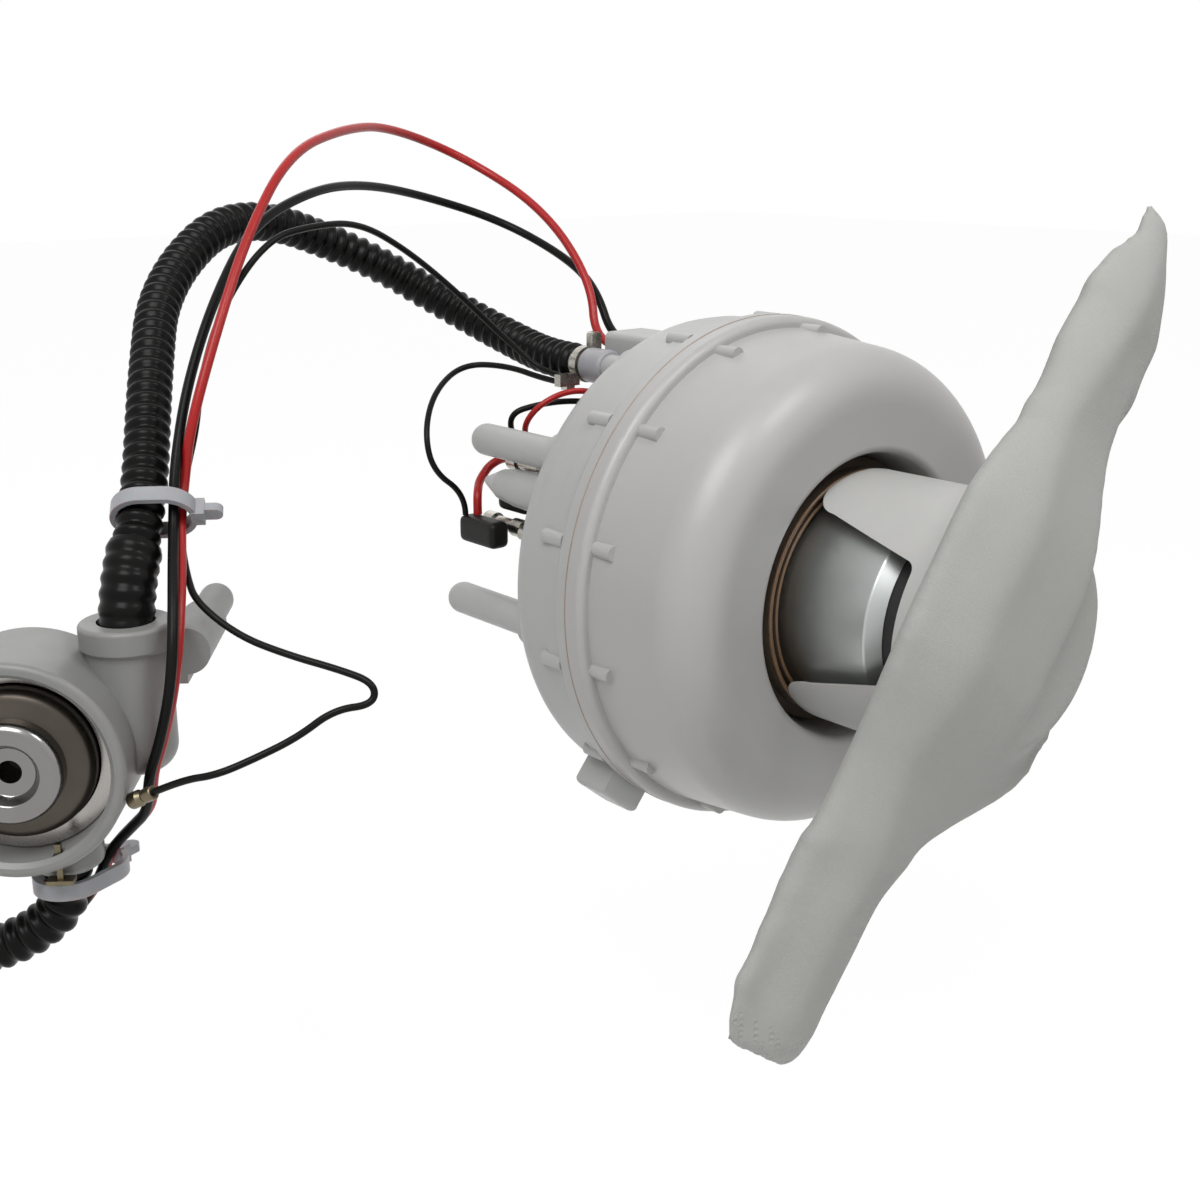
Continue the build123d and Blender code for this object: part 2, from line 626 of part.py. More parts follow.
def cage_window():
    """Cutter on the +X side: narrow at the closed ring, wide and rounded at the tongue tips."""
    tip = CAGE_TIP - 1
    flare = WINDOW_TIP_HALF + TONGUE_ROUND
    knee = CAGE_TIP + TONGUE_ROUND
    right = Polyline((0, tip), (flare + 1, tip), (flare, CAGE_TIP))
    curve = RadiusArc((flare, CAGE_TIP), (WINDOW_TIP_HALF, knee), TONGUE_ROUND)
    side = Polyline((WINDOW_TIP_HALF, knee), (WINDOW_ROOT_HALF, WINDOW_FRONT), (0, WINDOW_FRONT))
    half = make_face(right + curve + side + Line((0, WINDOW_FRONT), (0, tip)))
    face = half + mirror(half, about=Plane.YZ)
    corners = face.vertices().group_by(Axis.Y)[-1]
    corners = corners.filter_by(lambda v: abs(abs(v.X) - WINDOW_ROOT_HALF) < 0.01)
    face = fillet(corners, WINDOW_ROUND)
    upright = Plane(origin=(0, 0, 0), x_dir=(0, 1, 0), z_dir=(1, 0, 0))
    return extrude(upright * face, CAGE_R + 2)


# Strainer


def eased(stations, along):
    """Values at a place along the bag, eased between the stations on either side."""
    for before, after in zip(stations, stations[1:]):
        if before[0] <= along <= after[0]:
            share = (along - before[0]) / (after[0] - before[0])
            share = share * share * (3 - 2 * share)
            return [a + (b - a) * share for a, b in zip(before[1:], after[1:])]
    return stations[-1][1:]


def strainer_bag():
    """Felt bag: round middle over the cage's end, two wings, room for the frame inside."""
    front = CAGE_FRONT + BAG_CLEAR
    start = BAG_STATIONS[0][0]
    step = (BAG_STATIONS[-1][0] - start) / BAG_SECTIONS
    sections = []
    for index in range(BAG_SECTIONS + 1):
        along = start + index * step
        side, height, half_width, half_thick = eased(BAG_STATIONS, along)
        plane = Plane(origin=(along, -side, height), x_dir=(0, 1, 0), z_dir=(1, 0, 0))
        sections.append(plane * Ellipse(half_width, half_thick))
    bag = Rot(0, 0, BAG_ANGLE) * loft(sections, ruled=True)
    bag -= rod(CAGE_R + 0.4, 60, front)
    spot = (0.0, INLET_OFFSET)
    bag -= rod(FRAME_R + BAG_CLEAR, front - 1, CAGE_FRONT + 1.0 + FRAME_THICK + BAG_CLEAR)
    bag -= rod(COLLAR_R + BAG_CLEAR, front - 1, INLET_REACH + 1.4, spot)
    return bag


def strainer_frame():
    """Plastic plate in the bag with flow slots, its collar pushed on the inlet pipe."""
    rear = CAGE_FRONT + 0.7
    body = rod(FRAME_R, rear, rear + FRAME_THICK)
    spot = (0.0, INLET_OFFSET)
    body += rod(COLLAR_R, rear, INLET_REACH + 1.0, spot)
    body -= rod(INLET_R + 0.1, rear - 1, INLET_REACH + 0.1, spot)
    body -= rod(INLET_BORE_R, rear - 1, INLET_REACH + 2, spot)
    slots = [Rot(0, 0, turn) * Pos(0, -13.5, rear + FRAME_THICK / 2) * Box(2.4, 8, FRAME_THICK + 1)
             for turn in range(-100, 101, 25)]
    for slot in slots:
        body -= slot
    return body


# Regulator


def regulator_housing():
    """White housing: barrel, inlet tube with collar, low port, back peg and ribs."""
    barrel = turned(
        (0, -HOUSING_DEPTH - HOUSING_BACK), (HOUSING_R - 3, -HOUSING_DEPTH - HOUSING_BACK, 2.0),
        (HOUSING_R, -HOUSING_DEPTH + 3, 2.0), (HOUSING_R, 0, 1.2), (0, 0))
    bore = turned(
        (0, -HOUSING_DEPTH), (HOUSING_BORE_R, -HOUSING_DEPTH), (HOUSING_BORE_R, -0.8),
        (HOUSING_BORE_R + 0.8, 0), (HOUSING_BORE_R + 0.8, 1), (0, 1))
    tube_x, tube_z = INLET_TUBE_SPOT
    upright = Pos(tube_x, 0, tube_z) * Rot(-90, 0, 0)
    shank = turned(
        (0, INLET_TUBE_BOTTOM), (INLET_TUBE_R, INLET_TUBE_BOTTOM, 5.0),
        (INLET_TUBE_R, INLET_TUBE_TOP - INLET_COLLAR_LENGTH),
        (INLET_COLLAR_R, INLET_TUBE_TOP - INLET_COLLAR_LENGTH + 0.8),
        (INLET_COLLAR_R, INLET_TUBE_TOP, 0.8), (0, INLET_TUBE_TOP))
    low_x, low_z = LOW_PORT_SPOT
    port = Pos(low_x, 0, low_z) * Rot(-90, 0, 0) * turned(
        (0, LOW_PORT_BOTTOM), (LOW_PORT_R, LOW_PORT_BOTTOM, 1.5), (LOW_PORT_R, -14), (0, -14))
    body = barrel + upright * shank + port
    body += rod(REG_PEG_STEM_R, REG_PEG_STEM_END, tube_z, REG_PEG_SPOT)
    body += round_peg(REG_PEG_R, tube_z, REG_PEG_TIP, REG_PEG_SPOT)
    peg_x, peg_y = REG_PEG_SPOT
    rib_width = peg_x - tube_x
    body += Pos(tube_x + rib_width / 2, peg_y - REG_RIB_DROP, (tube_z + REG_PEG_STEM_END) / 2) * Box(
        rib_width, REG_RIB_WIDTH, abs(tube_z - REG_PEG_STEM_END))
    body -= bore
    body -= upright * rod(CUFF_R + 0.15, INLET_TUBE_TOP - SOCKET_DEPTH, INLET_TUBE_TOP + 1)
    body -= upright * rod(2.6, INLET_TUBE_BOTTOM + 2.5, INLET_TUBE_TOP)
    body -= Pos(tube_x / 2, INLET_TUBE_BOTTOM + 6.0, tube_z - 3) * Rot(0, 90, 0) * Cylinder(2.2, tube_x)
    body -= Pos(low_x, 0, low_z) * Rot(-90, 0, 0) * rod(2.6, LOW_PORT_BOTTOM - 1, -14)
    body -= terminal_slot()
    return body


def terminal_slot():
    """Slot through the barrel's lower wall for the earth pin."""
    return Pos(EARTH_X, -17.0, EARTH_Z) * Box(1.9, 8.0, 1.9)


def regulator_body():
    """Steel can of the regulator, with its rolled seam, spigot and hollow spring chamber."""
    inner = REG_BODY_R - REG_CAN_WALL
    neck = REG_NECK_R
    return turned(
        (0, REG_BODY_REAR), (REG_SPIGOT_R + 2, REG_BODY_REAR), (REG_BODY_R, REG_SEAM_FRONT - 4.2, 0.8),
        (REG_SEAM_R, REG_SEAM_FRONT - 2.6, 0.6), (REG_SEAM_R, REG_SEAM_FRONT, 0.6),
        (REG_BODY_R, REG_SEAM_FRONT + 1.2), (REG_BODY_R, REG_BODY_FRONT, 2.0),
        (neck, REG_BODY_FRONT + 1.0), (neck - 0.1, REG_BODY_FRONT - 1.0),
        (inner, REG_BODY_FRONT - 2.2, 1.0), (inner, REG_SEAM_FRONT - 1.0), (4.6, REG_SEAM_FRONT - 1.0),
        (4.6, REG_SEAM_FRONT - 3.4), (0, REG_SEAM_FRONT - 3.4))


def regulator_front_cap():
    """Bright pressed cap with a dished middle and centre hole."""
    neck = REG_NECK_R
    top = REG_NECK_FRONT
    return turned(
        (REG_PORT_R, top - 3.6), (4.6, top - 3.6, 0.8), (5.2, top - 1.6, 0.6), (neck - 1.0, top - 1.6),
        (neck - 1.0, REG_BODY_FRONT + 1.1), (neck, REG_BODY_FRONT + 1.1), (neck, top, 1.7),
        (5.6, top - 0.2, 0.6), (4.4, top - 2.4, 0.5), (REG_PORT_R, top - 2.4))


def regulator_valve():
    """Diaphragm carrier with its valve disc, free to lift off the seat."""
    rear = REG_SEAM_FRONT - 3.3
    plate = REG_BODY_R - REG_CAN_WALL - 0.5
    return turned(
        (0, rear), (2.6, rear), (2.6, rear + 3.4), (plate, rear + 3.4), (plate, rear + 4.4),
        (3.6, rear + 4.4), (3.6, rear + 6.6, 0.5), (0, rear + 6.6))


def regulator_spring():
    """Set spring between the diaphragm plate and the front cap."""
    return spring(6.4, 0.7, REG_SEAM_FRONT + 1.3, REG_BODY_FRONT - 0.4, 2)


def regulator_retainer():
    """Open spring ring that keeps the regulator in the barrel."""
    ring = tube(HOUSING_BORE_R - 0.15, REG_BODY_R + 0.3, -9.2, -7.2)
    gap = Pos(HOUSING_BORE_R, 0, -8) * Box(HOUSING_BORE_R * 1.6, 7.0, 6)
    return ring - Rot(0, 0, 150) * gap


def earth_pin():
    """Earth pin through the barrel's wall with its small clip below."""
    pin = Pos(EARTH_X, -17.2, EARTH_Z) * Box(1.0, 6.6, 1.0)
    clip = Pos(EARTH_X, -20.9, EARTH_Z) * Box(4.6, 0.8, 2.6)
    return pin + clip


FEED_HOSE = (
    (-14, 20, 40), (-14, 29, 40), (-12, 44, 42), (-16, 61, 48), (-29.5, 80, 60.5),
    (-63.5, 77.5, 72.5), (-89, 61, 58), (-104.5, 37, 42), (-116, 19.5, 24.5),
    (-121, 14.75, 17.5))
FEED_CUFF = ((-121, 14.75, 17.5), (-126, 10, 10.5), (-126, 10, 1))
RED_WIRE = (
    (-7, 15, 43.5), (-7, 23, 43.5), (-5, 29, 57), (-6, 46, 71.5), (-10.5, 67, 82.5),
    (-32, 64, 89.5), (-52.5, 49.5, 89), (-73.5, 36, 84.5), (-88.5, 27, 70), (-100, 19.5, 53.5),
    (-108, 16.3, 37.5), (-108.7, 18.5, 28.2), (-111.6, 15.3, 21.8), (-113.7, 11.8, 17.2),
    (-116.3, 7.2, 13.1), (-119.1, 2.7, 8.2), (-121.7, -0.7, 2.2), (-123.6, -1.4, -5.4),
    (-125.1, 0.8, -14.4), (-127.16, 1.62, -20), (-126.08, 5.06, -27.5), (-127.36, 10.52, -32.5),
    (-130.12, 14.34, -37.3), (-132.1, 15.7, -43), (-134.88, 19.16, -49.7), (-140.68, 23.76, -55.5),
    (-148.28, 29.46, -59), (-158.4, 36.8, -60.8), (-169.36, 45.52, -61.2), (-178.96, 52.72, -61.2))
BLACK_WIRE = (
    (-2.2, 15, 43.5), (-2.2, 22.5, 43.5), (-2, 30.5, 54.5), (-0.5, 43.5, 60.5), (-4, 62, 68),
    (-24, 64, 74.5), (-44, 56.5, 77.5), (-63, 45.5, 77), (-81.5, 38, 71), (-94.5, 30, 58.5),
    (-104.5, 23.5, 44), (-111.3, 17, 30.7), (-113.6, 14.1, 22.3), (-115.9, 10.3, 17.9),
    (-118.6, 5.6, 13.8), (-121.2, 1.1, 9), (-123.5, -2.5, 3.1), (-125.1, -3.3, -4.5),
    (-126.6, -1.2, -13.4), (-128.72, 0.04, -20), (-127.82, 3.24, -27.5), (-129.04, 8.78, -32.5),
    (-131.8, 12.6, -37.3), (-133.78, 13.96, -43), (-136.48, 17.36, -49.5), (-142.12, 21.84, -55.3),
    (-149.72, 27.54, -58.8), (-159.84, 34.88, -60.6), (-170.8, 43.6, -61.2), (-180.4, 50.8, -61.2))
EARTH_LEAD = (
    (-19.8, 18.5, 37.9), (-19.8, 25, 37.9), (-26, 31, 45.5), (-37, 33, 56), (-49, 33.2, 65),
    (-61.5, 31, 71), (-74, 27.5, 71), (-85, 26, 69), (-96, 25, 57), (-103.6, 20.4, 44),
    (-106.2, 17.6, 36.9), (-107.5, 20.7, 27.7), (-110.9, 17.4, 21.3), (-112.5, 14, 16.6),
    (-114.6, 8.4, 12.2), (-116, 2.9, 9), (-112.5, -5.5, 4), (-107.5, -14, 1.5), (-102, -20.5, -0.5),
    (-98.3, -26.3, -2.3), (-99, -27, -5.9), (-105.5, -24.5, -6), (-111, -21.5, -10.5),
    (-117.5, -18.5, -13.5), (-124, -16.5, -15.5), (-127.4, -10.9, -17.2), (-130.3, -5.4, -20.4))
CAP_LEAD = (
    (-19, 18.5, 36.2), (-19, 25, 36.2), (-22, 35, 38.5), (-28, 43.5, 38.5), (-39, 38.8, 34.3),
    (-46.5, 32.2, 27.4), (-46.5, 29.8, 18.9), (-39.2, 28.2, 13), (-39.2, 28.2, 8.4))
RED_PIGTAIL = (
    (-8.5, 9, 39.9), (-8.5, 9, 35.5), (-14.5, 11, 34.4), (-22, 13, 35.8), (-28.5, 15.5, 33),
    (-30.3, 19, 28), (-27, 21, 23.5), (-23, 21, 18.5), (-23, 20.5, 13.6), (-27, 20.5, 13.6))
BLACK_PIGTAIL = (
    (-5.8, 9, 39.9), (-5.8, 9, 33.4), (-14, 12, 32.2), (-21.5, 14.5, 33.2), (-26.5, 18.7, 32.3),
    (-32, 21, 30.8), (-30, 23.5, 25.5), (-24, 24, 21), (-22.6, 23.4, 16), (-22.6, 23.4, 11.6),
    (-27, 23.4, 11.6))
RED_JUMPER = (
    (-27.8, 26, 19.3), (-27.8, 29.6, 19.3), (-30, 31.5, 17.6), (-33.6, 30.6, 14.8),
    (-36.8, 27, 12.6), (-36.8, 27, 8.4))
RETURN_HOSE = (
    (-139.6, 12.7, -37.5), (-139.6, 12.7, -45), (-143.2, 15.4, -52.8), (-149.4, 20.1, -57.3),
    (-158.7, 27.1, -60.4), (-171.5, 36.5, -61), (-186, 46, -59))


def cap_terminals():
    """Two brass blades standing on the cap."""
    blades = []
    for spot in BLADE_SPOTS:
        blades.append(block(BLADE_WIDTH, BLADE_THICK, BLADE_TIP, SEAT_HEIGHT, spot))
    return blades


def spade(index):
    """Push-on receptacle over one blade, with a crimped barrel behind it."""
    spot = BLADE_SPOTS[index]
    back = SPADE_BACKS[index]
    body = block(SPADE_WIDTH, SPADE_DEPTH, SPADE_NECK, SPADE_FRONT, spot)
    body = fillet(body.edges().filter_by(Axis.Z), 0.9)
    body -= block(BLADE_WIDTH + 2 * SPADE_GAP, BLADE_THICK + 2 * SPADE_GAP, BLADE_TIP - 0.3,
                  SPADE_FRONT + 1, spot)
    body += rod(CRIMP_R, back, SPADE_NECK + 0.5, spot)
    body += rod(CRIMP_WING_R, SPADE_NECK - 5.5, SPADE_NECK - 2.0, spot)
    body += rod(CRIMP_WING_R, back, back + 3.0, spot)
    return body


def boot(corners):
    """Rubber boot over the wires' joints: a rounded block between two corners."""
    low, high = corners
    size = [b - a for a, b in zip(low, high)]
    middle = [(a + b) / 2 for a, b in zip(low, high)]
    body = Pos(*middle) * Box(*size)
    return fillet(body.edges(), BOOT_ROUND)


def earth_ring():
    """Spring clip round the nozzle with an ear and a foot for the thin leads."""
    bottom, top = EARTH_RING_Z
    spot_x, spot_y = NOZZLE_SPOT
    ring = Pos(spot_x, spot_y, 0) * tube(EARTH_RING_R, NOZZLE_R + 0.02, bottom, top)
    ear = block(2.6, 4.4, bottom, top, (spot_x + 2.4, spot_y + 4.6))
    foot = block(5.4, 2.6, bottom, top, (spot_x - 5.2, spot_y - 2.9))
    toe = block(2.2, 3.0, bottom, top, (spot_x - 5.0, spot_y - 3.6))
    body = ring + fillet(ear.edges().filter_by(Axis.Z), 0.9) + foot + toe
    return body - rod(NOZZLE_R + 0.02, bottom - 1, top + 1, NOZZLE_SPOT)


def hose_tie(inner, spread, width, band, tail):
    """White tie lying in XY: an oval band and its tail along +X."""
    outside = SlotCenterToCenter(spread, 2 * (inner + band))
    inside = SlotCenterToCenter(spread, 2 * inner)
    ring = extrude(outside - inside, width / 2, both=True)
    start = spread / 2 + inner + band / 2
    strap = Pos(start + tail / 2, 0, 0) * Box(tail, width, TIE_TAIL_THICK)
    strap = fillet(strap.edges().group_by(Axis.X)[-1].filter_by(Axis.Z), width / 2 - 0.1)
    head = Pos(start + 0.6, 0, 0) * Box(2.4, width + 0.4, width + 0.6)
    return ring + strap + head - extrude(inside, width, both=True)


def feed_tie():
    """Tie round the feed hose and its wires."""
    across = Vector(*TIE_FEED_ACROSS)
    plane = Plane(origin=TIE_FEED_SPOT, x_dir=across, z_dir=TIE_FEED_AXIS)
    slide = Pos(TIE_FEED_SPREAD / 2, 0, 0)
    return plane * slide * hose_tie(TIE_INNER, TIE_FEED_SPREAD, TIE_WIDTH, TIE_BAND, TIE_TAIL)


def return_tie():
    """Tie round the return hose and the two wires behind it."""
    plane = REGULATOR * Plane(
        origin=(LOW_PORT_SPOT[0], TIE_RETURN_Y, LOW_PORT_SPOT[1]), x_dir=TIE_RETURN_ACROSS,
        z_dir=(0, -1, 0))
    slide = Pos(TIE_RETURN_SPREAD / 2, 0, 0)
    return plane * slide * hose_tie(
        TIE_RETURN_INNER, TIE_RETURN_SPREAD, TIE_WIDTH, TIE_BAND, TIE_TAIL)


def return_connector():
    """Push-on connector at the end of the return hose."""
    end = RETURN_HOSE[-1]
    run = Vector(*end) - Vector(*RETURN_HOSE[-2])
    body = turned(
        (CONNECTOR_BORE_R, 0), (HOSE_R + 0.4, 0, 0.4), (HOSE_R + 0.4, 7.0), (CONNECTOR_R, 7.0, 0.3),
        (CONNECTOR_R, 21.0, 0.8), (CONNECTOR_BORE_R + 1.2, 21.0), (CONNECTOR_BORE_R + 1.2, 11.0),
        (CONNECTOR_BORE_R, 11.0))
    return Plane(origin=end, z_dir=run) * body


def wire_plug():
    """Two-pin plug on the ends of the red and black wires."""
    body = block(PLUG_LENGTH, PLUG_HEIGHT, PLUG_Z[0], PLUG_Z[1], (PLUG_X - PLUG_LENGTH / 2, PLUG_Y))
    body = fillet(body.edges().filter_by(Axis.X), 1.0)
    latch = block(6.0, 1.4, PLUG_Z[0] + 2.0, PLUG_Z[1] - 2.0,
                  (PLUG_X - PLUG_LENGTH / 2, PLUG_Y - PLUG_HEIGHT / 2 - 0.6))
    return REGULATOR * (body + latch)


def earth_crimp():
    """Crimped end of the long earth lead, tucked against the regulator's barrel."""
    end = EARTH_LEAD[-1]
    run = Vector(*end) - Vector(*EARTH_LEAD[-2])
    body = turned((0, 0), (1.3, 0, 0.3), (1.3, 2.0), (1.0, 2.6), (1.5, 3.4), (1.5, 5.6, 0.5), (0, 5.6))
    return Plane(origin=end, z_dir=run) * body


def on_canister(piece):
    """Lay a canister piece, or each of a list, along -Y."""
    if isinstance(piece, list):
        return [CANISTER * item for item in piece]
    return CANISTER * piece


def main():
    """Build every piece and write one STEP file each."""
    spin = Rot(0, 0, 180)
    pieces = {
        "canister_cap": on_canister(canister_cap()),
        "canister_bowl": on_canister(canister_bowl()),
        "filter_media": on_canister(filter_media()),
        "filter_end_cap_rear": on_canister(filter_end_cap(MEDIA_REAR - END_CAP_THICK)),
        "filter_end_cap_front": on_canister(filter_end_cap(MEDIA_FRONT)),
        "pump_casing": on_canister(pump_casing()),
        "pump_inlet_cover": on_canister(inlet_cover()),
        "impeller": on_canister(impeller()),
        "pump_chamber_plate": on_canister(chamber_plate()),
        "front_bearing": on_canister(bearing(PLATE_REAR - 1)),
        "rear_bearing": on_canister(bearing(SHAFT_REAR - 0.4)),
        "armature_shaft": on_canister(rod(SHAFT_R, SHAFT_REAR, INLET_COVER_REAR + 4.4)),
        "armature_core": on_canister(armature_core()),
        "armature_windings": on_canister(armature_windings()),
        "commutator": on_canister(commutator()),
        "stator_magnets": on_canister(stator_magnets()),
        "pump_outlet_cover": on_canister(outlet_cover()),
        "brush_right": on_canister(brush()),
        "brush_left": on_canister(spin * brush()),
        "brush_spring_right": on_canister(brush_spring()),
        "brush_spring_left": on_canister(spin * brush_spring()),
        "check_valve": on_canister(check_valve()),
        "check_valve_guide": on_canister(check_valve_guide()),
        "check_valve_spring": on_canister(check_spring()),
        "relief_valve": on_canister(relief_valve()),
        "relief_valve_spring": on_canister(relief_spring()),
        "relief_valve_retainer": on_canister(relief_retainer()),
        "pump_outlet_seal": on_canister(outlet_seal()),
        "pump_isolator": on_canister(isolator()),
        "pump_cage": on_canister(pump_cage()),
        "strainer_bag": on_canister(strainer_bag()),
        "strainer_frame": on_canister(strainer_frame()),
        "cap_terminals": on_canister(cap_terminals()),
        "spade_upper": on_canister(spade(0)),
        "spade_lower": on_canister(spade(1)),
        "boot_upper": on_canister(boot(BOOT_UPPER)),
        "boot_lower": on_canister(boot(BOOT_LOWER)),
        "earth_ring": on_canister(earth_ring()),
        "regulator_housing": REGULATOR * regulator_housing(),
        "regulator_body": REGULATOR * regulator_body(),
        "regulator_front_cap": REGULATOR * regulator_front_cap(),
        "regulator_valve": REGULATOR * regulator_valve(),
        "regulator_spring": REGULATOR * regulator_spring(),
        "regulator_retainer": REGULATOR * regulator_retainer(),
        "regulator_earth_pin": REGULATOR * earth_pin(),
        "feed_hose": cord("feed_hose", HOSE_R, FEED_HOSE),
        "feed_hose_cuff": cord("feed_hose_cuff", CUFF_R, FEED_CUFF),
        "red_wire": cord("red_wire", WIRE_R, RED_WIRE),
        "black_wire": cord("black_wire", WIRE_R, BLACK_WIRE),
        "return_hose": cord("return_hose", HOSE_R, RETURN_HOSE),
        "earth_lead": cord("earth_lead", THIN_R, EARTH_LEAD),
        "cap_lead": cord("cap_lead", THIN_R, CAP_LEAD),
        "red_pigtail": cord("red_pigtail", WIRE_R, RED_PIGTAIL),
        "black_pigtail": cord("black_pigtail", WIRE_R, BLACK_PIGTAIL),
        "red_jumper": cord("red_jumper", WIRE_R, RED_JUMPER),
        "earth_crimp": earth_crimp(),
        "feed_hose_tie": feed_tie(),
        "return_hose_tie": return_tie(),
        "return_connector": return_connector(),
        "wire_plug": wire_plug(),
    }
    os.makedirs("parts", exist_ok=True)
    for name, piece in pieces.items():
        solids = piece if isinstance(piece, list) else list(piece.solids())
        shape = solids[0] if len(solids) == 1 else Compound(children=solids)
        export_step(shape, f"parts/{name}.step")


main()
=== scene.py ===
"""Looks of the fuel pump module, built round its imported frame.

Metres, +Z up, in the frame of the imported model. Sizes of pieces are written in millimetres
and turned into metres where a mesh is made; the studio's are in metres. The canister lies
along Y, with its strainer towards -Y and its hose nozzle towards +Y.
"""

import json
import logging
import math
from dataclasses import dataclass, field
from enum import Enum
from functools import partial
from typing import Callable, Optional, Union

import bpy
import numpy as np
from mathutils import Matrix, Vector

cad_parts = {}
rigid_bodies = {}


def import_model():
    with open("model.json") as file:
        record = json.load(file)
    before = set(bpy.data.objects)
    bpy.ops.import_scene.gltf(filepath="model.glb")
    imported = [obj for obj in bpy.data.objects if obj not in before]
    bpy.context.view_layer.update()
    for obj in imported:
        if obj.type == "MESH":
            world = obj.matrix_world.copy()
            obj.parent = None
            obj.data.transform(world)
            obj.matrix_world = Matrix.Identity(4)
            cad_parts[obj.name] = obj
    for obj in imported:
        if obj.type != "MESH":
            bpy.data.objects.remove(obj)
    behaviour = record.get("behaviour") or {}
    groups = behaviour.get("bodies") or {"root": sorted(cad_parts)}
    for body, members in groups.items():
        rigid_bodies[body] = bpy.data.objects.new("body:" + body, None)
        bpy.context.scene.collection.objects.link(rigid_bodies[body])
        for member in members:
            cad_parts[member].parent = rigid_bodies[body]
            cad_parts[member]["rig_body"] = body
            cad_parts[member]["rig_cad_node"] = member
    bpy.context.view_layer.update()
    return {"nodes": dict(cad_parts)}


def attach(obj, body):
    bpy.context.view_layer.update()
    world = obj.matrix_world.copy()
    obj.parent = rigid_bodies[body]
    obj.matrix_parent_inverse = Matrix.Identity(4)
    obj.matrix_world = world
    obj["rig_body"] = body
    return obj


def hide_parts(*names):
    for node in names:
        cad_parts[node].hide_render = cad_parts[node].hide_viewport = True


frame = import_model()

logging.basicConfig(level=logging.INFO, format="%(message)s")
LOG = logging.getLogger("fuel_pump_module")

MM = 0.001
ALL_SOFT = 180.0
MODULE = "module"

Triple = tuple[float, float, float]
Point = Triple
Colour = Triple
Pair = tuple[float, float]
Table = tuple[Pair, ...]
Piece = bpy.types.Object
Array = np.ndarray
Socket = bpy.types.NodeSocket
Fed = Union[Socket, float, tuple[float, ...]]


class Pattern(Enum):
    """How a finish breaks up its surface."""

    MOULDED = "moulded"
    BRUSHED = "brushed"
    FIBRE = "fibre"
    WELDED = "welded"


class FarEnd(Enum):
    """What a cord ends in."""

    OBJECT = "object"
    PLUG = "plug"
    CONNECTOR = "connector"
    FITTING = "fitting"


